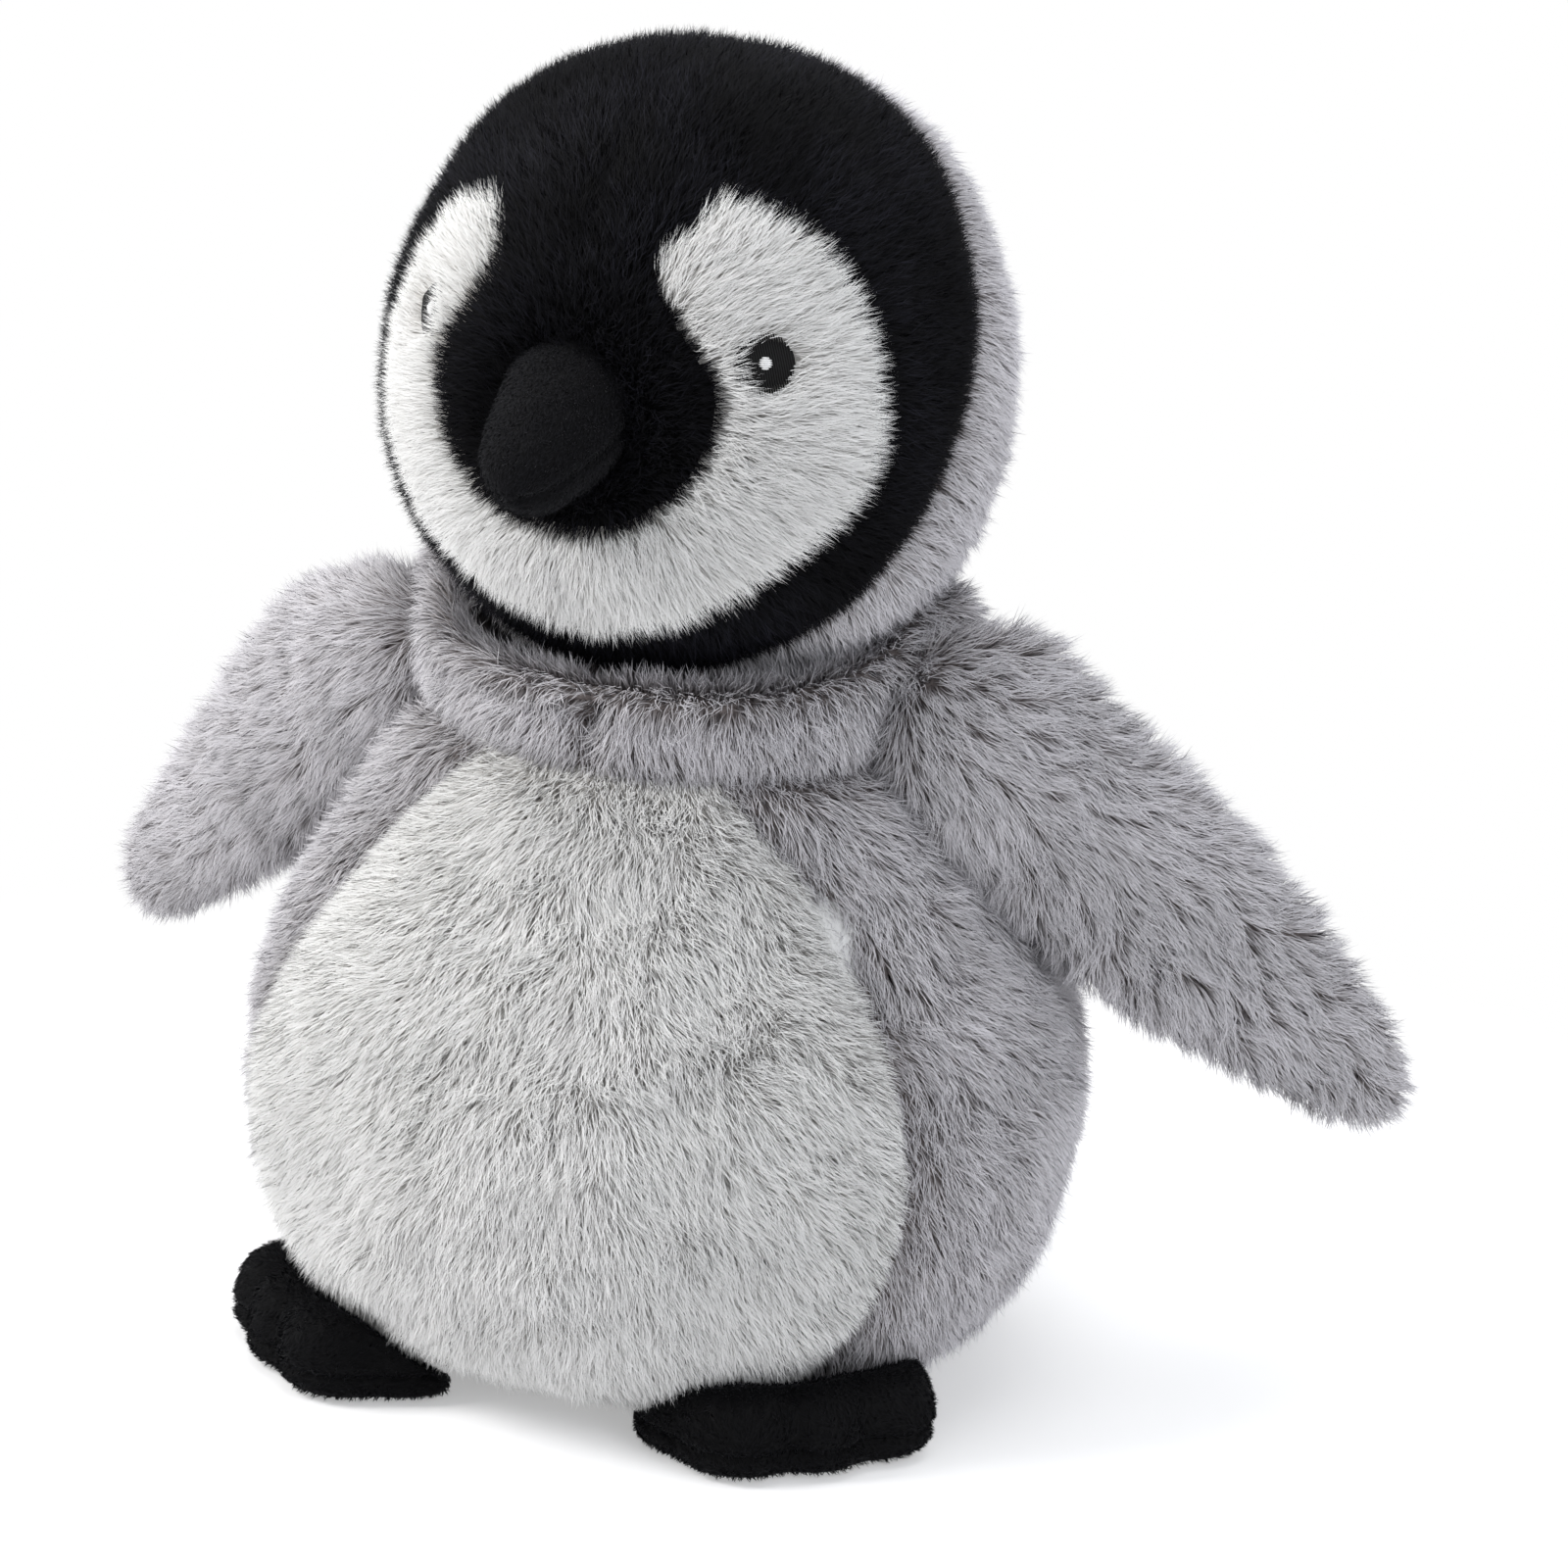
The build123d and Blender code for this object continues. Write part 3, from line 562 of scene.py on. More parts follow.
side_line = smooth_line([(0.6, 0), (24, 0), (44, 0)] + [(r, z) for z, r in torso_girth[:-1]] + [(51.0, 145.0)], 2.0)
under_head = [(50.2, 149.0), (47.8, 152.0), (44.6, 152.6), (41.6, 150.4), (38.5, 145.5), (34, 140.5), (24, 134.0),
              (10, 129.8), (1.2, 129.0)]
columns = 256
angle = np.arange(columns) * 2 * math.pi / columns
swept = lambda line: np.stack([np.outer(line[:, 0], np.sin(angle)), np.outer(line[:, 0], -np.cos(angle)),
                               np.repeat(line[:, 1:2], columns, 1)], 2)
outline = np.array(belly_half, float)
belly_edge = smooth_line(np.vstack([outline, outline[::-1] * (-1, 1)])[:len(outline)], 3.0)
belly_edge = np.vstack([belly_edge, belly_edge[::-1] * (-1, 1)])

lip = smooth_line(under_head, 3.0)
torso = Surface(swept(np.vstack([side_line, lip])), (0, 0, 0), (0, 0, 128.9))
bulge = lambda p: 3.2 * np.exp(-((p[:, 2] - 58) / 30.0) ** 2)      # the panel is let out at its widest
in_belly = lambda p: np.where(p[:, 1] < 0, inside_by(p[:, [0, 2]], belly_edge) + bulge(p), far_off)
above_collar = lambda p: p[:, 2] - collar_height
def tuck_under_chin(p):
    """The collar is pressed down in front, where the chin rests on it."""
    front = np.clip(-p[:, 1] / 34.0, 0, 1)
    rise = np.clip((p[:, 2] - 133.0) / 19.0, 0, 1)
    return p - np.stack([p[:, 0] * 0, p[:, 0] * 0, 6.2 * front * rise * rise * (3 - 2 * rise)], 1)

torso.snap(in_belly, 1.1)
torso.snap(above_collar, 1.0)
print("body surface:", len(torso.faces), "faces")

# %% The body's panels
def centre(surface, values):
    return values[surface.corners].mean(1)

def grow_body():
    pattern = torso.at.copy()
    belly, collar = in_belly(pattern), above_collar(pattern)
    girth = np.hypot(pattern[:, 0], pattern[:, 1])
    on_top = (pattern[:, 2] > 120) & (girth < 40.0)
    on_rim = (pattern[:, 2] > 146) & ~on_top
    on_base = (pattern[:, 2] < 0.6)
    back_seam = np.where((pattern[:, 1] > 0) | (collar > 0), np.abs(pattern[:, 0]), -far_off)
    seams = np.minimum(np.minimum(np.abs(belly), np.abs(collar)), back_seam)
    side_fold = np.where(on_top, -far_off, seams)
    groove = np.exp(-(side_fold / 3.4) ** 2)
    wide_groove = np.exp(-(np.minimum(np.abs(belly), np.abs(collar)) / 9.0) ** 2)
    stuffed = wavy(pattern, 46.0, 3) * 0.9 + wavy(pattern, 21.0, 4) * 0.45
    depth = 3.9 + 2.6 * groove + 1.6 * wide_groove * (1 - on_top) - np.where(on_top | on_base, 0, stuffed)
    depth[on_top] = 0.6
    depth[on_rim] = np.minimum(depth[on_rim], 2.2)
    for sign in (1, -1):
        far = np.linalg.norm(pattern - np.array((50.0 * sign, 8.0, 148.0)), axis=1)
        depth -= 7.5 * np.exp(-(far / 15.0) ** 2) * ~on_top
    torso.at = tuck_under_chin(pattern - torso.normal * depth[:, None])
    torso.find_normals()
    round_about = unit(np.stack([-pattern[:, 1], pattern[:, 0], 0 * girth], 1))
    down = unit(np.cross(torso.normal, np.cross((0, 0, -1.0), torso.normal)))
    fanned = torso.normal * 0
    fanned[:, 0] = pattern[:, 0] / 70.0
    backwards = round_about * np.sign(pattern[:, 0])[:, None]
    lay = np.where((belly > 0)[:, None], unit(down + fanned), unit(down + backwards * 0.35))
    from_middle = unit(np.stack([pattern[:, 0], pattern[:, 1], 0 * girth], 1) + 1e-6)
    spilling = from_middle.copy()
    spilling -= torso.normal * (spilling * torso.normal).sum(1)[:, None]
    rim_share = np.clip((pattern[:, 2] - 141) / 6, 0, 1)[:, None]
    lay = unit(lay * (1 - rim_share) + unit(spilling + down * 0.5) * rim_share)
    lay[on_base] = from_middle[on_base]
    fields = blank_fields(torso)
    fields["lay"] = lay
    fields["tall"] = 1 - 0.4 * groove
    # painted shadow in and beside the seam grooves
    fields["shade"] = 1.0 * groove + 0.3 * wide_groove
    fields["cover"] = np.where(on_top, 0.0, np.where(on_base, 0.45, 1.0))
    fields["cover"] *= 1 - 0.4 * groove
    base = (centre(torso, pattern[:, 2]) < 0.6) & (centre(torso, girth) < 47)
    is_collar = ~base & (centre(torso, collar) > 0)
    is_belly = ~base & ~is_collar & (centre(torso, belly) > 0)
    rest = ~base & ~is_collar & ~is_belly
    on_left = centre(torso, pattern[:, 0]) > 0
    sew("belly_plush", "torso", "cream_plush", torso, is_belly, fields,
        coat_of(4.85, 6.4, 0.25, lean=0.57, lock=3.0, pull=0.32, swirl=1.45, unruly=0.24, seed=1), ["belly_panel"])
    for word, half, seed in (("left", on_left, 2), ("right", ~on_left, 3)):
        sew(f"side_plush_{word}", "torso", "grey_plush", torso, rest & half, fields,
            coat_of(3.7, 6.8, 0.28, lean=0.57, lock=3.6, pull=0.55, swirl=1.5, unruly=0.24, seed=seed), [f"side_panel_{word}"])
    sew("collar_plush", "torso", "grey_plush", torso, is_collar, fields,
        coat_of(4.4, 6.6, 0.27, lean=0.55, lock=3.5, pull=0.5, swirl=1.4, unruly=0.24, seed=4),
        ["yoke_left", "yoke_right", "nape_left", "nape_right"])
    sew("base_plush", "torso", "grey_plush", torso, base, fields,
        coat_of(2.4, 3.6, 0.36, lean=0.72, lock=4.6, seed=5), ["base_panel"])

grow_body()
wad_line = [(2, 0), (24, 0), (44, 0)] + [(r, z) for z, r in torso_girth[1:-2]] + [(48, 122), (38, 126.5), (24, 127), (8, 127)]
wad("body_wad", "torso", Surface(swept(smooth_line(wad_line, 7.0))[:, ::4], (0, 0, 0), (0, 0, 127)), 9.0, "torso_stuffing")
neck_line = smooth_line([(1, 121), (16, 121), (25, 123), (27, 128), (25, 133.5), (15, 133), (1, 132)], 2.0)
wad("neck_wad", "neck", Surface(swept(neck_line)[:, ::4], (0, 0, 121), (0, 0, 132)), 1.2, "neck_pad")

# %% [markdown]
# ## The head
# The head is a ball, four millimetres taller than it is wide, sewn from a black cap that comes down
# the brow to the beak, two cream cheeks and a grey hood behind. It is turned and tilted a little, so
# every outline is drawn in the head's own directions: sideways, up and forward. The grid's poles
# lie in front and behind, which makes pile that fans out from the beak easy to describe. The
# cheek on the -X side is cut a little narrower than its twin.

# %% The head's surface
head_turn, head_tilt = math.radians(-5), math.radians(4)
head_radius = 60
eye_aside, eye_up = 36, 10.5
head_centre = np.array((0, 0, 193.5))
head_side = np.array((math.cos(head_turn), math.sin(head_turn), 0))
head_forward = np.array((math.sin(head_turn) * math.cos(head_tilt), -math.cos(head_turn) * math.cos(head_tilt), math.sin(head_tilt)))
head_up = np.cross(head_forward, head_side)
if head_up[2] < 0:
    head_up = -head_up
cheek_outer = [(0, -44), (21, -38), (36, -28.5), (46, -20), (53, -8), (54, 6.5), (49, 25), (38, 38), (20, 45)]
cheek_inner = [(20, 45), (13.5, 31), (20.5, 20), (29, 8), (27, -5), (21, -13), (12, -19.5), (0, -22)]
right_cheek = np.vstack([smooth_line(cheek_outer, 3.0), smooth_line(cheek_inner, 2.5)[1:]])
other_cheek = right_cheek * (-1, 1)
other_cheek[:, 1] = np.where(other_cheek[:, 1] > 8, 8 + (other_cheek[:, 1] - 8) * 0.86, other_cheek[:, 1])
other_cheek[:, 0] -= 5.0 * np.exp(-((other_cheek[:, 1] - 27) / 11.0) ** 2) * (other_cheek[:, 0] > -35)
other_cheek[:, 0] += 3.5 * (other_cheek[:, 0] < -42)
cheek_line = np.vstack([right_cheek, other_cheek[::-1][1:-1]])

def ball(ways, radius):
    lift = np.clip(ways[..., 2:3] / 0.10 * 0.5 + 0.5, 0, 1)
    return head_centre + ways * radius + lift * lift * (3 - 2 * lift) * np.array((0, 0, 4.0))

def head_ways(step, radius):
    polar = np.arange(1, int(math.pi * radius / step)) * step / radius
    count = int(2 * math.pi * radius / step)
    turn = np.arange(count) * 2 * math.pi / count
    sideways = np.cos(turn)[None, :, None] * head_up + np.sin(turn)[None, :, None] * head_side
    return np.cos(polar)[:, None, None] * head_forward + np.sin(polar)[:, None, None] * sideways

def head_surface(step):
    return Surface(ball(head_ways(step, head_radius), head_radius), ball(head_forward, head_radius), ball(-head_forward, head_radius))

head = head_surface(2.0)
in_head = lambda p: np.stack([(p - head_centre) @ head_side, (p - head_centre) @ head_up, (p - head_centre) @ head_forward], 1)

def in_cheek(p):
    q = in_head(p)
    outer = np.clip((np.linalg.norm(q[:, :2] + (0, 4), axis=1) - 34) / 10, 0, 1)
    return np.where(q[:, 2] > 0, inside_by(q[:, :2], cheek_line) - 2.6 * outer, far_off)

hood_slant = math.radians(21)
behind_face = lambda p: (5.5 - in_head(p)[:, 2]) * math.cos(hood_slant) - in_head(p)[:, 1] * math.sin(hood_slant)
head.snap(in_cheek, 1.1)
head.snap(behind_face, 1.0)
print("head surface:", len(head.faces), "faces")

# %% The head's panels
def eye_way(side):
    forward = math.sqrt(head_radius ** 2 - eye_aside ** 2 - eye_up ** 2)
    return unit(head_side * eye_aside * side + head_up * eye_up + head_forward * forward)

beak_seat = head_centre + head_forward * 46 + head_up * 6
beak_droop = math.radians(31)
beak_point = unit(head_forward * math.cos(beak_droop) - head_up * math.sin(beak_droop))

def grow_head():
    pattern = head.at.copy()
    local = in_head(pattern)
    cheek, hood = in_cheek(pattern), behind_face(pattern)
    middle = np.where((hood > 0) | (local[:, 1] > 30) | ((local[:, 1] < -20) & (cheek > 0)), np.abs(local[:, 0]), -far_off)
    groove = np.exp(-(np.abs(hood) / 3.2) ** 2) + 0.45 * np.exp(-(np.abs(cheek) / 2.2) ** 2) + 0.4 * np.exp(-(middle / 2.6) ** 2)
    stuffed = wavy(pattern, 50.0, 8) * 0.5
    depth = 2.7 + 1.8 * groove + 1.0 * np.exp(-(np.abs(hood) / 9.0) ** 2) - stuffed
    seat = np.linalg.norm(pattern - beak_seat - beak_point * 15, axis=1)
    crown = np.clip((local[:, 1] - 28) / 30, 0, 1)
    depth -= 2.2 * crown * crown * (3 - 2 * crown)
    depth += 2.0 * np.exp(-((seat - 12) / 6.0) ** 2)
    head.at = pattern - head.normal * depth[:, None]
    head.find_normals()
    from_beak = head.lie(pattern - (head_centre + head_forward * 58 + head_up * 1))
    sweep_back = head.lie(np.broadcast_to(-head_forward + head_up * 0.15, pattern.shape))
    falling = head.lie(np.broadcast_to(np.array((0, 0.35, -1.0)), pattern.shape))
    lay = np.where((cheek > 0)[:, None], from_beak, unit(from_beak * 0.7 + sweep_back * 0.8))
    lay = np.where((hood > 0)[:, None], unit(falling + sweep_back * 0.7), lay)
    fields = blank_fields(head)
    near_eye = np.full(len(pattern), 99.0)
    for side in (1, -1):
        middle_of_eye = ball(eye_way(side), 58.6)
        away = pattern - middle_of_eye
        far = np.linalg.norm(away, axis=1)
        near_eye = np.minimum(near_eye, far)
        head.at -= head.normal * (1.3 * np.exp(-(far / 7.0) ** 4))[:, None]
        lay = unit(lay + head.lie(away) * np.exp(-((far - 5.0) / 2.5) ** 2)[:, None] * 0.5)
    fields["lay"] = lay
    fields["cover"] = np.where((near_eye < 5.8) | (seat < 11.5), 0.0, 1.0) * np.where(pattern[:, 2] < 141, 0.2, 1.0)
    fields["tall"] = np.where(near_eye < 8, 0.7 + 0.3 * np.clip((near_eye - 5.5) / 2.5, 0, 1), 1.0) * (1 - 0.15 * np.clip(groove, 0, 1))
    fields["tall"] *= np.where((hood < 0) & (cheek < 0), 1.0 + 0.15 * np.exp(-((seat - 18) / 7.0) ** 2), 1.0)
    # painted shadow along the head's seams
    fields["shade"] = np.clip(groove, 0, 1) * 0.5
    is_hood = centre(head, hood) > 0
    is_cheek = ~is_hood & (centre(head, cheek) > 0)
    for kind, slot, faces, coat in (
        ("cheek", "cream_plush", is_cheek, coat_of(6.2, 6.4, 0.22, lean=0.58, lock=3.0, pull=0.34, swirl=0.8, unruly=0.2, seed=6)),
        ("cap", "black_plush", ~is_hood & ~is_cheek, coat_of(5.3, 5.0, 0.24, lean=0.46, lock=2.6, pull=0.34, swirl=0.8, unruly=0.3, seed=7)),
        ("hood", "grey_plush", is_hood, coat_of(3.5, 6.2, 0.29, lean=0.56, lock=3.8, pull=0.45, swirl=1.0, unruly=0.2, seed=8)),
    ):
        sew(f"{kind}_plush", "head", slot, head, faces, fields, coat, [f"{kind}_left", f"{kind}_right"])

grow_head()
wad("head_wad", "head", head_surface(7.0), 9.0, "head_stuffing")

# %% [markdown]
# ## The beak
# The beak is a short velvet cone, sewn from an upper and a lower half whose seams run down its two
# sides. A cone this small keeps its shape, so it is turned from its outline and given a shallow
# groove at each seam and a nap of short fibres that all lie towards the tip.

# %% The beak
def grow_beak():
    point = beak_point
    upright = unit(np.cross(head_side, point))
    if upright[2] < 0:
        upright = -upright
    line = smooth_line([(3.0, 13.6), (11.7, 13.1), (19.5, 11.8), (26.0, 9.8), (30.5, 7.9), (33.8, 4.9), (35.2, 2.0),
                        (35.5, 0.5)], 1.0)
    count = 84
    turn = np.arange(count) * 2 * math.pi / count
    rim = np.cos(turn)[:, None] * upright + np.sin(turn)[:, None] * head_side
    rows = beak_seat + line[:, 0, None, None] * point + line[:, 1, None, None] * rim[None]
    beak = Surface(rows, beak_seat + point * 3.0, beak_seat + point * 35.55)
    local = beak.at - beak_seat
    out, side, up = local @ point, local @ head_side, local @ upright
    seam = np.where(np.abs(side) > 1.5, np.abs(up + 0.6), 12.0)
    groove = np.exp(-(seam / 0.9) ** 2)
    pinch = np.exp(-(seam / 3.0) ** 2)
    beak.at = beak.at - beak.normal * (0.5 + 0.8 * groove + 0.35 * pinch - 0.25 * wavy(beak.at, 12.0, 12))[:, None]
    beak.find_normals()
    fields = blank_fields(beak)
    fields["lay"] = beak.lie(point, nudge=1e-6)
    # painted shadow in the beak's seam grooves
    fields["shade"] = groove * 0.8
    fields["cover"] = np.where(out < 6.0, 0.0, 1.0)
    upper = centre(beak, up) > -0.6
    for name, faces, node in (("beak_velvet_upper", upper, "beak_upper"), ("beak_velvet_lower", ~upper, "beak_lower")):
        nap = coat_of(9.0, 1.15, 0.17, lean=0.62, lock=2.2, pull=0.25, swirl=0.5, unruly=0.3, seed=9)
        sew(name, "head", "beak_velvet", beak, faces, fields, nap, [node])

grow_beak()

# %% [markdown]
# ## The wings
# Each wing is a flat stuffed paddle, widest below the shoulder and narrow at its tip, made of a
# front and a back piece. It is lofted through oval sections along its own length. The wing on the
# -X side hangs a little lower at its root. The pile is the longest on the toy, runs to the tip
# and breaks into wavy locks, with painted shadow darkening the roots between them.

# %% The wings
def grow_wing(sign, word, seed):
    shoulder = np.array((60.0 * sign, -4.0, 135.0))
    along = unit(np.array((71.0 * sign, 47.0, -74.0)))
    facing = unit(np.cross(along, (0, 0, 1.0)) * sign)
    across_way = np.cross(facing, along)
    sections = smooth_line([(-18, 3, 2), (-13, 14.0, 9.0), (0, 22.5, 13), (25, 22.5, 12), (50, 22, 11), (75, 19, 9.5),
                            (95, 15.5, 8), (110, 12, 6.5), (117.5, 8.0, 4.8), (120.8, 3.0, 2.4)], 2.0)
    count = 56
    turn = np.arange(count) * 2 * math.pi / count
    around = lambda w, h: np.cos(turn)[:, None] * across_way * w + np.sin(turn)[:, None] * facing * h
    rows = np.stack([shoulder + along * s + around(max(w - 3.2, 0.8), max(h - 3.2, 0.6)) for s, w, h in sections])
    if sign < 0:
        near_root = np.exp(-((sections[:, 0] - 8) / 32.0) ** 2)[:, None]
        rows[..., 2] -= 10.0 * near_root * np.clip((rows[..., 2] - 135) / 20.0, 0, 1)
    wing = Surface(rows, rows[0].mean(0) - along * 0.6, rows[-1].mean(0) + along * 0.6)
    core = rows[12:-6:3, ::4]
    wad(f"wing_wad_{word}", f"wing_{word}", Surface(core), 3.0, f"wing_stuffing_{word}")
    local = wing.at - shoulder
    s, c, f = local @ along, local @ across_way, local @ facing
    edge = np.exp(-(f / 2.6) ** 2) * (s > 4)
    wing.at = wing.at + wing.normal * (wavy(wing.at, 26.0, seed) * 0.7 - 0.9 * edge)[:, None]
    wing.find_normals()
    fields = blank_fields(wing)
    to_tip = along - wing.normal * (wing.normal @ along)[:, None]
    fan = across_way * (c / 40.0)[:, None]
    fields["lay"] = unit(to_tip + fan + 1e-6)
    # painted shadow along the wing's edge seam
    fields["shade"] = 0.45 * edge
    buried = np.hypot(wing.at[:, 0], wing.at[:, 1]) < np.interp(wing.at[:, 2], *zip(*torso_girth)) - 4.5
    fields["cover"] = np.where(buried & (wing.at[:, 2] < 150), 0.1, 1.0)
    fields["tall"] = np.clip(1.0 - (s - 60) / 260.0, 0.75, 1.0)
    front = centre(wing, f) > 0
    for side_word, faces in (("front", front), ("back", ~front)):
        sew(f"wing_plush_{side_word}_{word}", f"wing_{word}", "grey_plush", wing, faces, fields,
            coat_of(4.3, 7.4, 0.27, lean=0.56, lock=3.9, pull=0.72, swirl=1.7, unruly=0.22, seed=seed + (side_word == "back")),
            [f"wing_{side_word}_{word}"])

grow_wing(1, "left", 21)
grow_wing(-1, "right", 31)

# %% [markdown]
# ## The feet
# The feet are flat black pads of short-pile cloth, a domed top sewn to a flat sole with the seam
# low down the edge. Three soft toes make the front edge wavy. Their plan is drawn as the furthest
# of three toe circles and an oval, and the top is held down where the body rests on it.

# %% The feet
def grow_foot(sign, word, seed):
    bearing = math.radians(43)
    out = np.array((math.cos(bearing) * sign, -math.sin(bearing), 0))
    side = np.array((math.sin(bearing), math.cos(bearing) * sign, 0))
    middle = out * 57.0
    count = 132
    turn = np.arange(count) * 2 * math.pi / count
    rays = np.stack([np.cos(turn), np.sin(turn)], 1)
    reach = 1 / np.sqrt((rays[:, 0] / 24.0) ** 2 + (rays[:, 1] / 30.0) ** 2)
    for cx, cy in ((12.9, -15.0), (15.2, 0), (12.9, 15.0)):
        b = rays @ (cx, cy)
        inner = b * b - (cx * cx + cy * cy) + 12.0 ** 2
        reach = np.maximum(reach, np.where(inner > 0, b + np.sqrt(np.maximum(inner, 0)), 0))
    reach = np.where(rays[:, 0] < -0.05, np.minimum(reach, 7.1 / np.maximum(-rays[:, 0], 0.01)), reach)
    for _ in range(6):
        reach = (np.roll(reach, 1) + reach * 2 + np.roll(reach, -1)) / 4
    wall = smooth_line([(0.03, 0.9), (0.5, 0.9), (0.86, 1.0), (0.96, 2.6), (1.0, 6.0), (0.985, 11.5), (0.88, 16.2),
                        (0.58, 18.0), (0.3, 18.4), (0.03, 18.5)], 0.012)
    wall = wall[np.linspace(0, len(wall) - 1, 46).astype(int)]
    plan = rays[None, :, :1] * out + rays[None, :, 1:] * side
    flat = middle + (wall[:, 0, None, None] * (reach - 1.0)[None, :, None]) * plan
    rows = flat + wall[:, 1, None, None] * np.array((0, 0, 1.0))
    girth = np.hypot(rows[..., 0], rows[..., 1])
    heights, radii = zip(*torso_girth[:6])
    ceiling = np.interp(girth, radii, heights) * 0.97 - 0.6
    ceiling = np.where(girth > 78, 99, ceiling)
    rows[..., 2] = np.minimum(rows[..., 2], np.maximum(ceiling, 0.9))
    foot = Surface(rows)
    core = rows[::5, ::6].copy()
    heart = (out * 66.0)[:2]
    core[..., :2] = heart + (core[..., :2] - heart) * 0.6
    core[..., 2] = 1.7 + (core[..., 2] - 0.9) * 0.55
    wad(f"foot_wad_{word}", f"foot_{word}", Surface(core), 0.4, f"foot_stuffing_{word}")
    local = foot.at - middle
    x, y = local @ out, local @ side
    seam = np.exp(-((foot.at[:, 2] - 6.0) / 0.9) ** 2) * (np.hypot(x, y) > 12)
    valleys = 0.5 * np.exp(-((np.abs(y) - 7.5) / 2.4) ** 2) * np.clip((x - 12) / 12, 0, 1) * (foot.at[:, 2] > 4)
    foot.at = foot.at - foot.normal * (0.9 * seam + 1.3 * valleys - 0.35 * wavy(foot.at, 17.0, seed) * (foot.at[:, 2] > 3))[:, None]
    foot.find_normals()
    fields = blank_fields(foot)
    fields["lay"] = foot.lie(out + unit(np.stack([x, y], 1) + 1e-6) @ np.stack([out, side]), nudge=1e-6)
    # painted shadow in the sole seam and the valleys between the toes
    fields["shade"] = 0.8 * seam + 0.3 * valleys
    fields["cover"] = np.where(foot.at[:, 2] < 1.6, 0.35, 1.0)
    height = centre(foot, foot.at[:, 2])
    nap = coat_of(5.0, 1.5, 0.2, lean=0.6, lock=2.6, pull=0.4, swirl=0.8, unruly=0.3, seed=seed)
    for kind, node, faces in (("foot", "foot_top", height > 6.0), ("sole", "foot_sole", height <= 6.0)):
        sew(f"{kind}_minky_{word}", f"foot_{word}", "black_minky", foot, faces, fields, nap, [f"{node}_{word}"])

grow_foot(1, "left", 41)
grow_foot(-1, "right", 51)

# %% [markdown]
# ## The eyes
# The eyes are embroidered: a round of black satin stitch with one small white glint. Every stitch is
# a thread laid side by side with the next, so a Geometry Nodes tree sets one low-sided thread on
# each stitch's middle and stretches it to the outline.

# %% The thread finish and the stitch tree
def thread_finish(name, colour, shine):
    material, bench = new_material(name)
    place = bench.node("ShaderNodeTexCoord", out="Object")
    grain = bench.node("ShaderNodeTexNoise", None, {"Vector": place, "Scale": 1600.0, "Detail": 2.0}, out=0)
    bump = bench.node("ShaderNodeBump", None, {"Strength": 0.35, "Distance": 0.0002, "Height": grain})
    dyed = bench.mix(grain, tuple(c * 0.75 for c in colour), tuple(min(1, c * 1.25) for c in colour))
    skin = bench.node("ShaderNodeBsdfPrincipled", None, {
        "Base Color": dyed, "Roughness": grain * 0.2 + shine, "Normal": bump, "Specular IOR Level": 0.2})
    bench.node("ShaderNodeOutputMaterial", None, {"Surface": skin})
    return material

threads = {"black_thread": thread_finish("black_thread", (0.002, 0.002, 0.0025), 0.45),
           "white_thread": thread_finish("white_thread", (0.86, 0.86, 0.86), 0.4)}

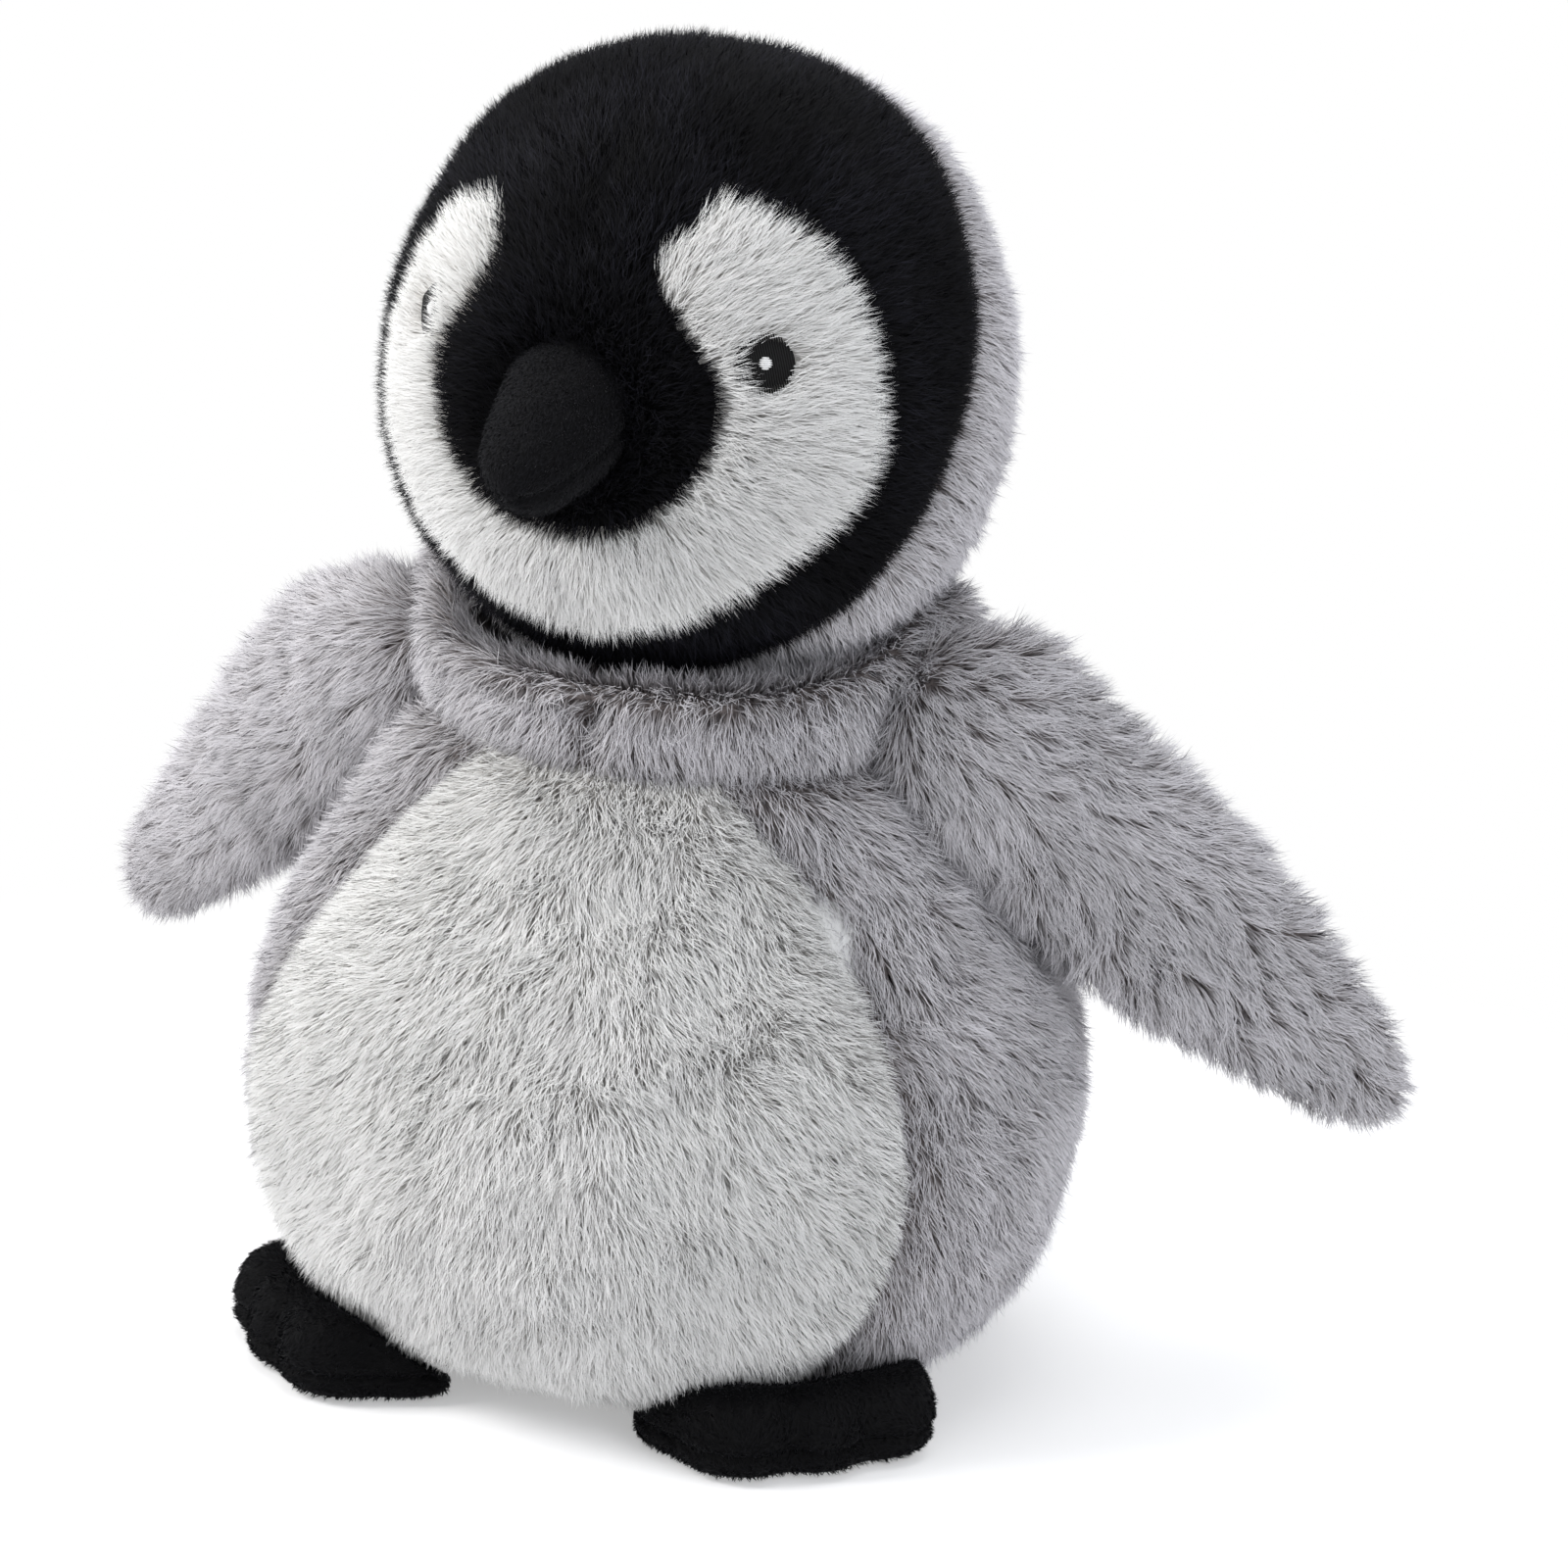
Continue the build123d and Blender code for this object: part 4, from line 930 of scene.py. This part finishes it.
def stitch_tree():
    tree = bpy.data.node_groups.new("satin_stitch", "GeometryNodeTree")
    names = {"Stitches": socket_in(tree, "Stitches", "NodeSocketGeometry"), "Thread Width": socket_in(tree, "Thread Width", "NodeSocketFloat"),
             "Thread": socket_in(tree, "Thread", "NodeSocketMaterial")}
    tree.interface.new_socket(name="Embroidery", in_out="OUTPUT", socket_type="NodeSocketGeometry")
    bench = Bench(tree)
    given = bench.node("NodeGroupInput")
    thread = bench.node("GeometryNodeMeshCylinder", {"fill_type": "TRIANGLE_FAN"},
                        {"Vertices": 6, "Side Segments": 6, "Radius": 0.5, "Depth": 2.0}, out="Mesh")
    spot = bench.node("ShaderNodeSeparateXYZ", None, {0: bench.node("GeometryNodeInputPosition")}, out="X")
    hump = (1.0 - spot.out("Z") * spot.out("Z")).high(0.0)
    thin = hump ** 0.35 * 0.75 + 0.25
    arched = bench.node("ShaderNodeCombineXYZ", None, {"X": spot * thin, "Y": spot.out("Y") * thin + hump * 1.2, "Z": spot.out("Z")})
    thread = bench.node("GeometryNodeSetPosition", None, {"Geometry": thread, "Position": arched})
    run, up = named(bench, "run", "FLOAT_VECTOR"), named(bench, "up", "FLOAT_VECTOR")
    turned = bench.node("FunctionNodeAlignRotationToVector", {"axis": "Z"}, {"Vector": run})
    turned = bench.node("FunctionNodeAlignRotationToVector", {"axis": "Y", "pivot_axis": "Z"}, {"Rotation": turned, "Vector": up})
    width = given.out("Thread Width")
    size = bench.node("ShaderNodeCombineXYZ", None, {"X": width, "Y": width, "Z": named(bench, "half")})
    laid = bench.node("GeometryNodeInstanceOnPoints", None,
                      {"Points": given.out("Stitches"), "Instance": thread, "Rotation": turned, "Scale": size})
    whole = bench.node("GeometryNodeRealizeInstances", None, {"Geometry": laid})
    whole = bench.node("GeometryNodeSetMaterial", None, {"Geometry": whole, "Material": given.out("Thread")})
    bench.node("NodeGroupOutput", None, {0: whole})
    return tree, names

stitching, stitch_inputs = stitch_tree()
print("stitch tree:", len(stitching.nodes), "nodes")

# %% Embroider the eyes
eye_radius, glint_radius = 5.7, 1.15

def embroider(name, middle, up, run, radius, slot, node, width, lift):
    cross = np.cross(up, run)
    count = max(3, int(2 * radius / (width * 0.82)))
    places, halves = [], []
    for k in range(count):
        t = (k + 0.5) / count * 2 - 1
        shape = math.sqrt(max(0, 1 - abs(t) ** 2.2))
        places.append(middle + cross * t * radius + up * (lift + 0.5 * (1 - t * t)))
        halves.append(radius * shape * (1.0 + 0.03 * math.sin(k * 2.4)) + 0.15)
    mesh = bpy.data.meshes.new(name)
    mesh.from_pydata((np.array(places) * mm).tolist(), [], [])
    write_field(mesh, "half", "FLOAT", np.array(halves) * mm)
    for field, value in (("run", run), ("up", up)):
        write_field(mesh, field, "FLOAT_VECTOR", np.tile(value, count))
    piece = put_in_scene(name, mesh)
    work_out(piece, "stitches", stitching, {stitch_inputs["Thread Width"]: width * mm, stitch_inputs["Thread"]: threads[slot]})
    hang(piece, "head", [node])
    print(f"{name}: {count} stitches")

for sign, word in ((1, "left"), (-1, "right")):
    look = eye_way(sign)
    middle = ball(look, 56.9 if sign > 0 else 56.2)
    upright = unit(head_up - look * (head_up @ look))
    slant = unit(upright + np.cross(look, upright) * 0.25 * sign)
    embroider(f"eye_stitching_{word}", middle, look, slant, eye_radius, "black_thread", f"eye_{word}", 0.55, 0.2)
    embroider(f"eye_glint_stitching_{word}", middle + upright * 0.2, look, unit(np.cross(look, upright)), glint_radius,
              "white_thread", f"eye_glint_{word}", 0.42, 1.15)
